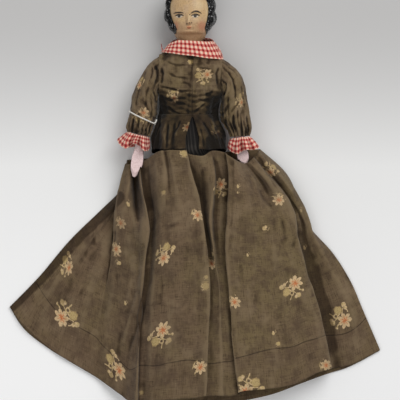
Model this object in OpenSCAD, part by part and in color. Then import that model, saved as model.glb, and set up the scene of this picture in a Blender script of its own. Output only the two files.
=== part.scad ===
// Peg wooden doll lying on its back: a turned and carved body with pegged limbs,
// a fitted bodice with peplum and full sleeves, gingham collar and cuffs, and a
// pleated skirt over a black petticoat. X points to the doll's left, Y to the
// crown and Z out of its front. The surface that it lies on is at zero height.

/* [Body] */
// From the chin to the crown of the turned head
head_l = 49; // [42:1:56]
// Width of the turned head
head_w = 43.6; // [38:0.2:46]
// Width of the neck
neck_w = 22; // [18:1:26]
// From the chin down to the base of the neck
neck_l = 12.5; // [8:0.5:16]
// Torso from the base of the neck to its lower end
torso_l = 109; // [96:1:122]
// Width of the torso at the shoulders
torso_w = 68; // [64:1:74]
// Depth of the torso from back to chest
torso_d = 35; // [31:1:38]
// Width of the flat carved for each arm
flat_inset = 3; // [2:0.5:4]
// Thickness of the carved curls
curl_t = 4.2; // [3:0.1:5]
// Length of the nose wedge
nose_l = 9; // [7:0.5:11]

/* [Arms] */
// From the shoulder peg to the elbow peg
upper_arm_l = 46; // [40:1:52]
// From the elbow peg to the wrist
forearm_l = 33; // [28:1:38]
// Length of the open right hand
hand_l = 26; // [22:1:30]
// Length of the left hand, with its fingers curled in
curled_hand_l = 14; // [11:1:17]
// Radius of the arms
arm_r = 5.5; // [4.5:0.1:5.8]
// Radius of the ball at the top of each arm
shoulder_r = 9; // [8:0.1:9.4]
// Angle by which the arms stand away from the body
arm_splay = 10.5; // [6:0.5:14]

/* [Legs] */
// From the hip peg to the knee peg
thigh_l = 107; // [96:1:118]
// From the knee peg to the sole
shin_l = 108; // [96:1:116]
// Radius of the thigh at the hip
thigh_r = 11; // [9:0.5:12]
// Radius of the knee
knee_r = 8.5; // [7:0.5:9.5]
// Radius of the ankle
ankle_r = 5.2; // [4:0.2:6]
// Length of the slipper
foot_l = 21; // [17:1:24]
// Thickness of the tenon between the thighs
tenon_t = 8; // [6:0.5:10]
// Distance of the hip peg behind the middle of the body
leg_set = 6; // [4:0.5:8]

/* [Pegs] */
// Radius of the shoulder and hip dowels
dowel_r = 2.2; // [1.6:0.1:2.8]
// Radius of the elbow and knee pegs
peg_r = 1.5; // [1.1:0.1:1.9]
// Running clearance of each bore on its peg
peg_gap = 0.05; // [0.02:0.01:0.1]
// Clearance between a tongue and its slot
slot_gap = 0.2; // [0.15:0.05:0.4]

/* [Clothes] */
// Thickness of the cloth
cloth_t = 1.2; // [0.8:0.1:1.5]
// Clearance between one layer and the next
layer_gap = 0.4; // [0.3:0.1:0.6]
// Skirt from its upper edge to the hem
skirt_l = 250; // [225:5:275]
// Twice the reach of the skirt to its farthest corner
skirt_w = 380; // [360:5:400]
// Height of the skirt over the hips
skirt_h = 50; // [49:0.5:56]
// Sleeve from the shoulder to the wrist
sleeve_l = 75; // [72:1:78]
// Width of the sleeve at the elbow
sleeve_w = 28; // [26:0.5:30]
// Depth of the sleeve at the elbow
sleeve_d = 26; // [24:0.5:28]
// Length of the cuff frills
cuff_l = 17; // [14:1:19]
// Width of the cuff frills
cuff_w = 32.5; // [30:0.5:34]
// Length of the peplum
peplum_l = 33.5; // [28:0.5:35]
// Width of the peplum at its lower edge
peplum_w = 72; // [68:1:74]
// Width of the collar
collar_w = 61; // [56:1:64]
// Thickness of the string round the sleeve
string_d = 1.4; // [1.1:0.1:1.8]

/* [Hidden] */

right = -1;
left = 1;
smooth_fn = 64;
// Overrun of every cut past the face that it opens
cut = 1;

wood = "#c9a876";
skin = "#d9a58f";
paint_black = "#1c1a19";
peg_wood = "#b08a5a";
cloth_brown = "#6d5c45";
gingham = "#cf6f6a";
string_white = "#e6e0d2";

// Heights above the surface and places along the body
hair_r = head_w / 2 + curl_t;
axis_z = hair_r;
leg_z = axis_z - leg_set;
hip_y = 25;
hip_gap = 1;
torso_y = hip_y + thigh_r + hip_gap;
neck_y = torso_y + torso_l;
chin_y = neck_y + neck_l;
head_y = chin_y + head_l / 2;
waist_share = 0.376;
shoulder_share = 0.752;
waist_y = torso_y + waist_share * torso_l;
shoulder_y = torso_y + shoulder_share * torso_l;
flat_x = torso_w / 2 - flat_inset;
ball_x = flat_x + layer_gap;
arm_x = ball_x + shoulder_r - arm_r * 0.6;
leg_x = tenon_t / 2 + slot_gap + thigh_r * 0.9;

function mix(a, b, t) = a + (b - a) * t;
function ease(t) = let (u = min(1, max(0, t))) u * u * (3 - 2 * u);
// Value at t from 0 to 1 along a smooth curve through evenly spaced values
function curve(list, t) =
    let (n = len(list) - 1, k = t * n, i = min(n - 1, floor(k)), u = k - i,
         a = list[max(0, i - 1)], b = list[i], c = list[i + 1], d = list[min(n, i + 2)])
    b + u * ((c - a) / 2 + u * ((a - 2.5 * b + 2 * c - d / 2) + u * (1.5 * (b - c) + (d - a) / 2)));

// A closed skin of cloth between two grids of points, which can close on itself sideways
module cloth(outer, inner, wrap = false) {
    rows = len(outer);
    cols = len(outer[0]);
    span = wrap ? cols : cols - 1;
    function at(side, i, j) = side * rows * cols + i * cols + j % cols;
    function tile(a, b, c, d) = [[a, b, c], [a, c, d]];
    skins = [for (side = [0, 1], i = [0 : rows - 2], j = [0 : span - 1])
        let (q = [at(side, i, j), at(side, i + 1, j), at(side, i + 1, j + 1), at(side, i, j + 1)])
        each side == 0 ? tile(q[0], q[1], q[2], q[3]) : tile(q[3], q[2], q[1], q[0])];
    ends = [for (i = [0, rows - 1], j = [0 : span - 1])
        let (q = [at(0, i, j), at(0, i, j + 1), at(1, i, j + 1), at(1, i, j)])
        each i == 0 ? tile(q[0], q[1], q[2], q[3]) : tile(q[3], q[2], q[1], q[0])];
    sides = wrap ? [] : [for (j = [0, cols - 1], i = [0 : rows - 2])
        let (q = [at(0, i, j), at(1, i, j), at(1, i + 1, j), at(0, i + 1, j)])
        each j == 0 ? tile(q[0], q[1], q[2], q[3]) : tile(q[3], q[2], q[1], q[0])];
    polyhedron(points = [for (grid = [outer, inner], row = grid, p = row) p],
               faces = concat(skins, ends, sides), convexity = 8);
}

// A turned piece whose profile of [radius, height] rises along the body
module turned(profile) {
    rotate([-90, 0, 0]) rotate_extrude($fn = smooth_fn) polygon(profile);
}

// A turned limb whose profile of [radius, length] runs down from the joint
module limb(profile) {
    rotate([90, 0, 0]) rotate_extrude($fn = smooth_fn) polygon(profile);
}

// A dowel or disc across the body, centred on its own middle
module across(r, l) {
    rotate([0, 90, 0]) cylinder(r = r, h = l, center = true, $fn = smooth_fn);
}

// Half width of the torso at even heights from its lower end to the neck, as shares of half its
// width, and its depth in front of and behind its middle, as shares of half its depth
torso_shares = [0.78, 0.78, 0.74, 0.675, 0.61, 0.595, 0.7, 0.84, 0.925, 1, 0.89, 0.62, 0.335];
chest_shares = [0.92, 0.95, 0.9, 0.82, 0.74, 0.76, 0.86, 0.97, 1, 0.97, 0.88, 0.76, 0.63];
back_shares = [0.86, 0.92, 0.86, 0.78, 0.72, 0.74, 0.82, 0.9, 0.92, 0.9, 0.84, 0.74, 0.63];
// Profile of the head from the chin to the crown, as shares of half its width and its length
head_shares = [[0.5, 0], [0.76, 0.045], [0.9, 0.15], [0.975, 0.32], [1, 0.47], [0.97, 0.63],
               [0.85, 0.79], [0.62, 0.91], [0.32, 0.98], [0, 1]];
head_profile = [for (s = head_shares) [s[0] * head_w / 2, chin_y + s[1] * head_l]];

// A point on the torso at share t of its length, or on cloth that lies off it
function torso_half_w(t) = curve(torso_shares, t) * torso_w / 2;
function torso_point(t, angle, grow) =
    [(torso_half_w(t) + grow) * cos(angle), torso_y + t * torso_l,
     axis_z + (curve(sin(angle) > 0 ? chest_shares : back_shares, t) * torso_d / 2 + grow) * sin(angle)];
function torso_rings(low, high, rows, cols, grow) =
    [for (i = [0 : rows - 1]) [for (j = [0 : cols - 1])
        torso_point(mix(low, high, i / (rows - 1)), -360 * j / cols, grow)]];

// A solid through a stack of rings, closed at both ends
module loft(rings) {
    rows = len(rings);
    cols = len(rings[0]);
    walls = [for (i = [0 : rows - 2], j = [0 : cols - 1])
        let (a = i * cols + j, b = i * cols + (j + 1) % cols, c = b + cols, d = a + cols)
        each [[d, c, b], [d, b, a]]];
    caps = [[for (j = [0 : cols - 1]) j], [for (j = [cols - 1 : -1 : 0]) (rows - 1) * cols + j]];
    polyhedron(points = [for (ring = rings, p = ring) p], faces = concat(walls, caps), convexity = 4);
}

torso_cols = 32;
module torso() {
    loft(torso_rings(0, 1, 15, torso_cols, 0));
}

module head() {
    translate([0, 0, axis_z]) turned(concat([[0, chin_y]], head_profile));
}

module body() {
    color(wood) difference() {
        union() {
            torso();
            head();
            translate([0, (neck_y + chin_y) / 2, axis_z]) rotate([90, 0, 0])
                cylinder(r = neck_w / 2, h = neck_l + head_l / 3, center = true, $fn = smooth_fn);
            // Tenon that the thighs hang beside
            translate([-tenon_t / 2, hip_y, leg_z - thigh_r])
                cube([tenon_t, torso_y - hip_y + hip_gap, thigh_r * 2]);
            translate([0, hip_y, leg_z]) across(thigh_r, tenon_t);
        }
        for (side = [right, left]) translate([side * (flat_x + torso_w / 2), shoulder_y, axis_z])
            cube([torso_w, shoulder_r * 4, torso_d * 2], center = true);
        translate([0, shoulder_y, axis_z]) across(dowel_r, torso_w * 2);
        translate([0, hip_y, leg_z]) across(dowel_r, tenon_t * 2);
    }
}

module nose() {
    bridge_t = nose_l * 0.22;
    tip_t = nose_l * 0.42;
    tip_w = nose_l * 0.55;
    foot = head_w * 0.42;
    nose_y = head_y - head_l * 0.13;
    color(wood) difference() {
        translate([0, nose_y, axis_z]) hull() {
            translate([-bridge_t / 2, nose_l / 2, 0]) cube([bridge_t, bridge_t, foot + bridge_t]);
            translate([-tip_w / 2, -nose_l / 2, 0]) cube([tip_w, bridge_t, foot + bridge_t]);
            translate([0, -nose_l / 2 + bridge_t, head_w / 2 + tip_t - bridge_t]) sphere(r = bridge_t, $fn = 24);
        }
        head();
    }
}

// Carved curls: a shell round the head from the hairline to the nape, with waved rolls
hair_rows = 12;
hair_cols = 36;
curl_count = 9;
curl_depth = curl_t * 0.3;
function hairline(a) = mix(50, 124, ease((-sin(a) - 0.45) / 0.5));
function hair_dir(a, p) = [cos(a) * sin(p), sin(a) * sin(p), cos(p)];
// The curls stand fuller beside the jaw
function hair_reach(a, p) =
    hair_r + sin(p) * (curl_t * 0.8 * exp(-pow((-sin(a) - 0.65) * 2.4, 2)) * sin(p)
                       + curl_t * 0.4 * max(0, sin(a)) * sin(p)
                       - curl_depth * (1 - cos(curl_count * a + 150 * sin(p * 3))) / 2);
head_middle = [0, head_y, axis_z];
module hair() {
    outer = [for (i = [0 : hair_rows]) [for (j = [0 : hair_cols - 1])
        let (a = 360 * j / hair_cols, p = mix(hairline(a), 179, i / hair_rows), edge = ease(i / 1.5))
        head_middle + mix(head_bore(a, p) + layer_gap * 2, hair_reach(a, p), edge) * hair_dir(a, p)]];
    inner = [for (i = [0 : hair_rows]) [for (j = [0 : hair_cols - 1])
        let (a = 360 * j / hair_cols, p = mix(hairline(a), 179, i / hair_rows))
        head_middle + head_bore(a, p) * hair_dir(a, p)]];
    color(paint_black) cloth(inner, outer, wrap = true);
}
// Reach of the inside of the curls, just clear of the head's profile
bore_reach = [for (p = head_profile) let (r = norm([p[0], p[1] - head_y])) [(p[1] - head_y) / r, r]];
function head_bore(a, p) = layer_gap * 2.5 + lookup(hair_dir(a, p)[1], bore_reach);

module shoulder_peg() {
    color(peg_wood) translate([0, shoulder_y, axis_z]) across(dowel_r, (ball_x + shoulder_r * 0.9) * 2);
}

module hip_peg() {
    color(peg_wood) translate([0, hip_y, leg_z]) across(dowel_r, (leg_x + thigh_r * 0.9) * 2);
}

// Places of the elbow and knee, in the frame of the limb that hangs from the joint above
module on_arm(side, along_l = 0) {
    translate([side * arm_x, shoulder_y, axis_z]) rotate([0, 0, side * arm_splay])
        translate([0, -along_l, 0]) children();
}
module on_leg(side, along_l = 0) {
    translate([side * leg_x, hip_y - along_l, leg_z]) children();
}

elbow_r = arm_r * 1.2;
elbow_w = elbow_r * 2;
tongue_t = elbow_w * 0.35;

module upper_arm(side) {
    color(wood) difference() {
        union() {
            // Rounded knuckle turned about the peg
            translate([side * ball_x, shoulder_y, axis_z]) rotate([0, side * 90, 0]) rotate_extrude($fn = smooth_fn)
                polygon(concat([[0, 0], [shoulder_r * cos(30), 0]],
                    [for (a = [30 : 12 : 90]) shoulder_r * [cos(a), sin(a)]]));
            on_arm(side) limb([[0, 0], [arm_r, 0], [arm_r, upper_arm_l - elbow_r * 1.5],
                               [elbow_r, upper_arm_l - elbow_r * 0.8], [elbow_r, upper_arm_l], [0, upper_arm_l]]);
            on_arm(side, upper_arm_l) across(elbow_r, elbow_w);
        }
        translate([0, shoulder_y, axis_z]) across(dowel_r + peg_gap, (ball_x + shoulder_r + cut) * 2);
        on_arm(side, upper_arm_l) slot(elbow_r + slot_gap * 2, tongue_t + 2 * slot_gap, arm_r * 0.9 + slot_gap, 1);
        on_arm(side, upper_arm_l) across(peg_r, elbow_w + 2 * cut);
        // The side that lies against the torso
        translate([side * (ball_x - torso_w / 2), shoulder_y, axis_z])
            cube([torso_w, torso_l, torso_d * 2], center = true);
    }
}

// A slot with a round bottom, open toward the far end of its limb and on the side toward which it bends
module slot(r, w, strap, bend) {
    across(r, w);
    translate([-w / 2, -r * 2, -r]) cube([w, r * 2, r * 2]);
    translate([0, strap - r, bend * r]) cube([w, r * 2, r * 2], center = true);
}

module elbow_peg(side) {
    color(peg_wood) on_arm(side, upper_arm_l) across(peg_r, elbow_w);
}

wrist_r = arm_r * 0.86;
hand_w = arm_r * 2.05;
hand_t = arm_r * 1.3;
// Half of the mitten's outline as shares of the hand's width and length, and its thumb
palm_shares = [[-0.4, 0], [-0.5, 0.3], [-0.48, 0.55], [-0.4, 0.8], [-0.22, 0.96], [0.02, 1],
               [0.22, 0.93], [0.32, 0.74], [0.36, 0.6], [0.5, 0.62], [0.56, 0.5], [0.5, 0.3], [0.4, 0]];

module forearm(side, finger_l) {
    start = elbow_r + 3 * slot_gap;
    color(skin) difference() {
        on_arm(side, upper_arm_l) {
            limb([[0, start], [arm_r - slot_gap, start], [arm_r, start + slot_gap], [arm_r, start + arm_r],
                  [wrist_r, forearm_l - arm_r], [wrist_r, forearm_l], [0, forearm_l]]);
            across(elbow_r, tongue_t);
            translate([-tongue_t / 2, -start - slot_gap, -arm_r * 0.9])
                cube([tongue_t, start + slot_gap, arm_r * 1.8]);
            translate([0, -forearm_l + arm_r / 2, 0]) intersection() {
                linear_extrude(hand_t, center = true)
                    polygon([for (s = palm_shares) [-side * s[0] * hand_w, -s[1] * (finger_l + arm_r / 2)]]);
                limb([[0, 0], [wrist_r, 0], [hand_w * 0.62, finger_l * 0.4], [hand_w * 0.55, finger_l * 0.7],
                      [hand_t * 0.2, finger_l + arm_r / 2], [0, finger_l + arm_r / 2]]);
            }
        }
        on_arm(side, upper_arm_l) across(peg_r + peg_gap, elbow_w);
    }
}

knee_w = knee_r * 2;
knee_tongue_t = knee_w * 0.34;
calf_r = knee_r * 0.93;
lap_w = thigh_r * 1.8;
// The knee disc runs on past the turned part by this much
knee_seat = knee_r * 0.3;

module thigh(side) {
    color(wood) difference() {
        union() {
            on_leg(side) limb([[0, 0], [thigh_r * 0.9, 0], [thigh_r, thigh_r], [thigh_r, thigh_l * 0.3],
                               [knee_r, thigh_l - knee_r * 2], [knee_r, thigh_l - knee_seat], [0, thigh_l - knee_seat]]);
            on_leg(side) across(thigh_r, lap_w);
            on_leg(side, thigh_l) across(knee_r, knee_w);
        }
        // Inner side that lies against the tenon
        translate([side * (tenon_t / 2 + slot_gap - thigh_l), hip_y, leg_z])
            cube([thigh_l * 2, thigh_r * 4, thigh_r * 4], center = true);
        translate([0, hip_y, leg_z]) across(dowel_r + peg_gap, (leg_x + thigh_r + cut) * 2);
        on_leg(side, thigh_l) slot(knee_r + slot_gap * 2, knee_tongue_t + 2 * slot_gap, calf_r * 0.9 + slot_gap, -1);
        on_leg(side, thigh_l) across(peg_r, knee_w + 2 * cut);
    }
}

module knee_peg(side) {
    color(peg_wood) on_leg(side, thigh_l) across(peg_r, knee_w);
}

module shin(side) {
    start = knee_r + 3 * slot_gap;
    heel_r = ankle_r * 1.15;
    color(wood) difference() {
        on_leg(side, thigh_l) {
            limb([[0, start], [calf_r - slot_gap, start], [calf_r, start + slot_gap], [calf_r, shin_l * 0.35],
                  [ankle_r, shin_l * 0.8], [ankle_r, shin_l - heel_r], [0, shin_l - heel_r]]);
            across(knee_r, knee_tongue_t);
            translate([-knee_tongue_t / 2, -start - slot_gap, -calf_r * 0.9])
                cube([knee_tongue_t, start + slot_gap - knee_seat, calf_r * 1.8]);
            // Slipper with its sole square to the leg
            translate([0, -shin_l, 0]) rotate([-90, 0, 0]) linear_extrude(heel_r * 1.6) hull() {
                translate([0, heel_r * 0.3]) circle(r = heel_r, $fn = 32);
                translate([0, heel_r * 1.3 - foot_l + heel_r * 0.8]) circle(r = heel_r * 0.8, $fn = 32);
            }
        }
        on_leg(side, thigh_l) across(peg_r + peg_gap, knee_w);
    }
}

module bodice() {
    top_share = 0.95;
    rows = 8;
    cols = 28;
    color(cloth_brown) difference() {
        cloth(torso_rings(waist_share, top_share, rows, cols, layer_gap + cloth_t),
              torso_rings(waist_share, top_share, rows, cols, layer_gap), wrap = true);
        for (side = [right, left]) translate([side * (flat_x + layer_gap / 2 + torso_w / 2), shoulder_y, axis_z])
            cube([torso_w, shoulder_r * 5, torso_d * 2], center = true);
        translate([0, shoulder_y, axis_z]) across(shoulder_r + cloth_t, torso_w * 2);
    }
}

// Rings of an upright tube or flare, each [centre x, y, centre z, half width, half depth]
function ring_point(ring, angle, grow) =
    [ring[0] + (ring[3] + grow) * cos(angle), ring[1], ring[2] + (ring[4] + grow) * sin(angle)];

module peplum() {
    rows = 4;
    cols = 36;
    top_y = waist_y - layer_gap;
    opening = 9;
    opening_turn = 2.9;
    wave = peplum_w * 0.012;
    waist_off = layer_gap * 2 + cloth_t * 2 + wave;
    // The flare stays above the skirt in front and above the surface behind
    function ring(t) = let (k = pow(t, 0.8))
        [0, top_y - t * peplum_l, axis_z + layer_gap * t,
         mix(torso_half_w(waist_share) + waist_off, peplum_w / 2 + cloth_t, k),
         mix(curve(chest_shares, waist_share) * torso_d / 2 + waist_off, axis_z - cloth_t - layer_gap, k)];
    function skin_point(i, j, grow) =
        let (t = i / (rows - 1), gap = opening * (0.15 + 0.85 * t), centre = 90 - opening_turn * (1 - t / 2),
             angle = centre + gap + (360 - 2 * gap) * j / (cols - 1))
        ring_point(ring(t), angle, grow - wave * t * (1 - cos(angle * 9)) / 2);
    color(cloth_brown) cloth(
        [for (i = [0 : rows - 1]) [for (j = [0 : cols - 1]) skin_point(i, j, 0)]],
        [for (i = [0 : rows - 1]) [for (j = [0 : cols - 1]) skin_point(i, j, -cloth_t)]]);
}

module collar() {
    rows = 3;
    cols = 24;
    top_y = neck_y + neck_l * 0.55;
    drop = top_y - neck_y + torso_l * 0.065;
    slope = collar_w * 0.055;
    // The lower edge lies lower on the doll's left
    function ring(t) = [0, top_y - t * drop, axis_z, mix(neck_w / 2 + layer_gap, collar_w / 2, t),
                        mix(neck_w / 2 + layer_gap, torso_d / 2 + cloth_t * 3, t)];
    function skin_point(i, j, lift) =
        let (t = i / (rows - 1), angle = -84 + 348 * j / (cols - 1), p = ring_point(ring(t), angle, 0))
        p + [0, lift - slope * t * cos(angle), 0];
    color(gingham) cloth(
        [for (i = [0 : rows - 1]) [for (j = [0 : cols - 1]) skin_point(i, j, cloth_t)]],
        [for (i = [0 : rows - 1]) [for (j = [0 : cols - 1]) skin_point(i, j, 0)]]);
}

// Inner and outer edge of the sleeve as shares of its width outward from the
// shoulder and of its length down from it, and its depth
sleeve_shares = [
    [[-0.155, 0.22], [-0.155, -0.15], 0.96], [[-0.14, 0.25], [0.09, -0.11], 1], [[-0.14, 0.29], [0.36, -0.015], 1],
    [[-0.155, 0.34], [0.59, 0.13], 1], [[-0.16, 0.41], [0.76, 0.3], 1], [[-0.155, 0.49], [0.82, 0.43], 1],
    [[-0.12, 0.58], [0.88, 0.56], 1], [[-0.04, 0.68], [0.95, 0.67], 0.96], [[0.1, 0.77], [0.96, 0.76], 0.8],
    [[0.13, 0.8], [0.94, 0.79], 0.68]];
sleeve_x = flat_x + layer_gap * 1.8 + sleeve_w * 0.155;
function sleeve_edge(side, share) = [side * (sleeve_x + share[0] * sleeve_w), shoulder_y - share[1] * sleeve_l, axis_z];
// Gathers deepen toward the wrist and the shoulder
gather_count = 8;
function sleeve_point(side, row, angle, grow, depth) =
    let (a = sleeve_edge(side, row[0]), b = sleeve_edge(side, row[1]), middle = (a + b) / 2, half = (b - a) / 2,
         r = norm(half), pull = (r + grow - depth * (1 - cos(angle * gather_count)) / 2) / r,
         up = (row[2] * sleeve_d / 2 + grow - depth * (1 - cos(angle * gather_count)) / 2))
    middle + half * pull * cos(angle) + [0, 0, up * sin(angle)];

module sleeve(side) {
    cols = 26;
    rows = len(sleeve_shares);
    function skin(grow) = [for (i = [0 : rows - 1])
        let (depth = sleeve_d * 0.045 * max(0, (i - 4) / (rows - 5)))
        [for (j = [0 : cols - 1]) sleeve_point(side, sleeve_shares[i], side * 360 * j / cols, grow, depth)]];
    color(cloth_brown) cloth(skin(0), skin(-cloth_t), wrap = true);
}

module cuff(side) {
    rows = 3;
    cols = 40;
    frill_count = 8;
    wrist_row = sleeve_shares[len(sleeve_shares) - 1];
    top_in = sleeve_edge(side, wrist_row[0]);
    top_out = sleeve_edge(side, wrist_row[1]);
    drop = [0, -layer_gap * 1.2, 0];
    down = [side * cuff_l * 0.13, -cuff_l, 0];
    spread = (cuff_w - norm(top_out - top_in)) / 2;
    tuck = sleeve_d * 0.02;
    function skin(grow) = [for (i = [0 : rows - 1])
        let (t = i / (rows - 1), middle = (top_in + top_out) / 2 + drop + down * t,
             half = (top_out - top_in) / 2, r = norm(half) + spread * pow(t, 0.7),
             deep = sleeve_d * 0.34 + sleeve_d * 0.07 * t)
        [for (j = [0 : cols - 1])
            let (angle = side * 360 * j / cols, wave = tuck * (0.6 + 3 * t) * (1 - cos(angle * frill_count)) / 2)
            middle + half / norm(half) * (r + grow - wave) * cos(angle)
                + [0, -wave * t, (deep + grow - wave) * sin(angle)]]];
    color(gingham) cloth(skin(0), skin(-cloth_t), wrap = true);
}

// White string tied round the right sleeve: one turn, sloping down to the body, and a short curled end
string_turn = 1.12;
string_rings = 40;
string_sides = 6;
module sleeve_string() {
    function route(u) =
        let (angle = -360 * string_turn * u, down = mix(0.65, 0.5, (1 - cos(angle)) / 2),
             lift = string_d * 0.75 + string_d * 1.4 * ease((u - 0.7) / 0.16))
        sleeve_point(right, string_row(down), 180 + angle, lift, 0);
    points = [for (i = [0 : string_rings - 1]) route(i / (string_rings - 1))];
    color(string_white) tube(points, string_d / 2, string_sides);
}
// The sleeve's row at share k of its length down
function string_row(k) =
    let (n = len(sleeve_shares) - 1, i = min(n - 1, max([for (m = [0 : n - 1]) sleeve_shares[m][1][1] <= k ? m : 0])),
         u = (k - sleeve_shares[i][1][1]) / (sleeve_shares[i + 1][1][1] - sleeve_shares[i][1][1]))
    [mix(sleeve_shares[i][0], sleeve_shares[i + 1][0], u), mix(sleeve_shares[i][1], sleeve_shares[i + 1][1], u),
     mix(sleeve_shares[i][2], sleeve_shares[i + 1][2], u)];

function unit(v) = v / norm(v);
// A tube of equal rings along a route that nowhere runs straight along Y
module tube(points, r, sides) {
    n = len(points);
    function heading(i) = unit(points[min(n - 1, i + 1)] - points[max(0, i - 1)]);
    ring_points = [for (i = [0 : n - 1])
        let (d = heading(i), u = unit(cross(d, [0, 1, 0])), v = cross(d, u))
        [for (j = [0 : sides - 1]) points[i] + r * (cos(360 * j / sides) * u + sin(360 * j / sides) * v)]];
    walls = [for (i = [0 : n - 2], j = [0 : sides - 1])
        let (a = i * sides + j, b = i * sides + (j + 1) % sides, c = b + sides, d = a + sides)
        each [[a, b, c], [a, c, d]]];
    caps = [[for (j = [sides - 1 : -1 : 0]) j], [for (j = [0 : sides - 1]) (n - 1) * sides + j]];
    polyhedron(points = [for (ring = ring_points, p = ring) p], faces = concat(walls, caps), convexity = 6);
}

// Petticoat: it hugs the torso to the hips, then widens and lies flatter toward the hem. The first
// shares are places along the torso. The rows hold the place down the skirt's length, the half width,
// the height of the widest point, and the top and underside, as shares of the skirt's length, half its
// width, and its height
petticoat_torso_shares = [0.355, 0.2, 0.09];
petticoat_shares = [
    [0.072, 0.205, 0.3, 0.868, 0.036], [0.25, 0.21, 0.16, 0.69, 0.036], [0.5, 0.24, 0.1, 0.67, 0.036],
    [0.965, 0.3, 0.1, 0.75, 0.036]];
pleat_count = 18;
skirt_top_y = torso_y + torso_l * 0.055;
// Half the skirt's width for its folds: set by the hips between the hands, and by the hem below them
function skirt_reach(down) = mix(flat_x * 12.26, skirt_w, ease((down - 0.12) / 0.3)) / 2;

module petticoat() {
    cols = 54;
    bulge = 0.8;
    function pleat(angle) = cloth_t * 0.4 * (1 - cos(angle * pleat_count)) / 2;
    function column(row, angle, grow) =
        let (fold = grow - pleat(angle), w = row[1] * skirt_reach(row[0]) + fold, middle = row[2] * skirt_h,
             up = row[3] * skirt_h - middle + fold, down = middle - row[4] * skirt_h + fold,
             c = cos(angle), s = sin(angle))
        [w * sign(c) * pow(abs(c), bulge), skirt_top_y - row[0] * skirt_l,
         middle + (s > 0 ? up : down) * sign(s) * pow(abs(s), bulge)];
    function skin(grow) = concat(
        [for (t = petticoat_torso_shares) [for (j = [0 : cols - 1])
            torso_point(t, 360 * j / cols, layer_gap * 2 + cloth_t + grow - pleat(360 * j / cols))]],
        [for (row = petticoat_shares) [for (j = [0 : cols - 1]) column(row, 360 * j / cols, grow)]]);
    color(paint_black) cloth(skin(0), skin(-cloth_t), wrap = true);
}

// Front layer of the skirt, as folds from the upper edge to the hem. Each fold line holds its start and
// end down the skirt, five even places across it, and its height at the start, below the hips and at
// the hem, as shares of the skirt's length, half its width, and its height
fold_shares = [
    [0.051, 0.618, [-0.333, -0.383, -0.605, -0.775, -0.952], [0.05, 0.05, 0.05]],
    [0.045, 0.740, [-0.325, -0.377, -0.565, -0.700, -0.835], [0.1, 0.14, 0.09]],
    [0.040, 0.819, [-0.316, -0.370, -0.500, -0.590, -0.665], [0.15, 0.24, 0.14]],
    [0.036, 0.886, [-0.305, -0.364, -0.440, -0.485, -0.513], [0.2, 0.22, 0.12]],
    [0.032, 0.937, [-0.292, -0.355, -0.405, -0.408, -0.413], [0.24, 0.2, 0.2]],
    [0.028, 0.984, [-0.278, -0.325, -0.345, -0.343, -0.345], [0.28, 0.52, 0.48]],
    [0.034, 0.992, [-0.262, -0.255, -0.238, -0.255, -0.282], [0.38, 0.86, 0.8]],
    [0.032, 0.992, [-0.240, -0.215, -0.205, -0.228, -0.248], [0.46, 0.66, 0.66]],
    [0.004, 0.988, [-0.146, -0.124, -0.136, -0.155, -0.160], [0.92, 0.88, 0.84]],
    [0.000, 0.984, [-0.082, -0.065, -0.045, -0.045, -0.045], [0.96, 0.84, 0.86]],
    [0.004, 0.980, [-0.022, 0.045, 0.088, 0.105, 0.080], [0.98, 0.94, 0.96]],
    [0.022, 0.976, [-0.010, 0.058, 0.098, 0.113, 0.090], [0.94, 0.76, 0.82]],
    [0.022, 0.976, [0.055, 0.080, 0.108, 0.121, 0.126], [0.96, 0.84, 0.88]],
    [0.020, 0.980, [0.100, 0.108, 0.114, 0.129, 0.152], [0.93, 0.77, 0.84]],
    [0.012, 0.980, [0.150, 0.158, 0.150, 0.165, 0.185], [0.94, 0.93, 0.94]],
    [0.020, 0.980, [0.200, 0.197, 0.192, 0.215, 0.255], [0.8, 0.74, 0.78]],
    [0.024, 0.972, [0.226, 0.268, 0.290, 0.330, 0.372], [0.4, 0.84, 0.8]],
    [0.020, 0.925, [0.262, 0.405, 0.460, 0.505, 0.553], [0.33, 0.52, 0.5]],
    [0.012, 0.874, [0.300, 0.525, 0.560, 0.615, 0.715], [0.22, 0.56, 0.42]],
    [0.010, 0.862, [0.320, 0.555, 0.590, 0.650, 0.740], [0.17, 0.2, 0.12]],
    [0.008, 0.825, [0.342, 0.585, 0.680, 0.780, 0.860], [0.12, 0.3, 0.16]],
    [0.006, 0.787, [0.363, 0.570, 0.735, 0.885, 0.998], [0.05, 0.05, 0.05]]];
fold_turn = 0.3;
skirt_rows = 13;

function fold_point(fold, t) =
    [curve(fold[2], t) * skirt_reach(mix(fold[0], fold[1], t)), skirt_top_y - mix(fold[0], fold[1], t) * skirt_l,
     skirt_h * (t < fold_turn ? mix(fold[3][0], fold[3][1], ease(t / fold_turn))
                              : mix(fold[3][1], fold[3][2], (t - fold_turn) / (1 - fold_turn)))];

module skirt_front() {
    last = len(fold_shares) - 1;
    outer = [for (i = [0 : skirt_rows - 1]) let (t = i / (skirt_rows - 1))
        [for (k = [0 : last]) let (p = fold_point(fold_shares[k], t))
            each k == last ? [p] : [p, (p + fold_point(fold_shares[k + 1], t)) / 2]]];
    color(cloth_brown) cloth(outer, [for (row = outer) [for (p = row) p - [0, 0, cloth_t]]]);
}

module skirt_back() {
    edge_steps = 6;
    first = fold_shares[0];
    final = fold_shares[len(fold_shares) - 1];
    function flat(p) = [p[0], p[1]];
    color(cloth_brown) linear_extrude(cloth_t) polygon(concat(
        [for (i = [0 : edge_steps]) flat(fold_point(first, i / edge_steps))],
        [for (k = [1 : len(fold_shares) - 2]) flat(fold_point(fold_shares[k], 1))],
        [for (i = [edge_steps : -1 : 0]) flat(fold_point(final, i / edge_steps))]));
}

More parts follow.
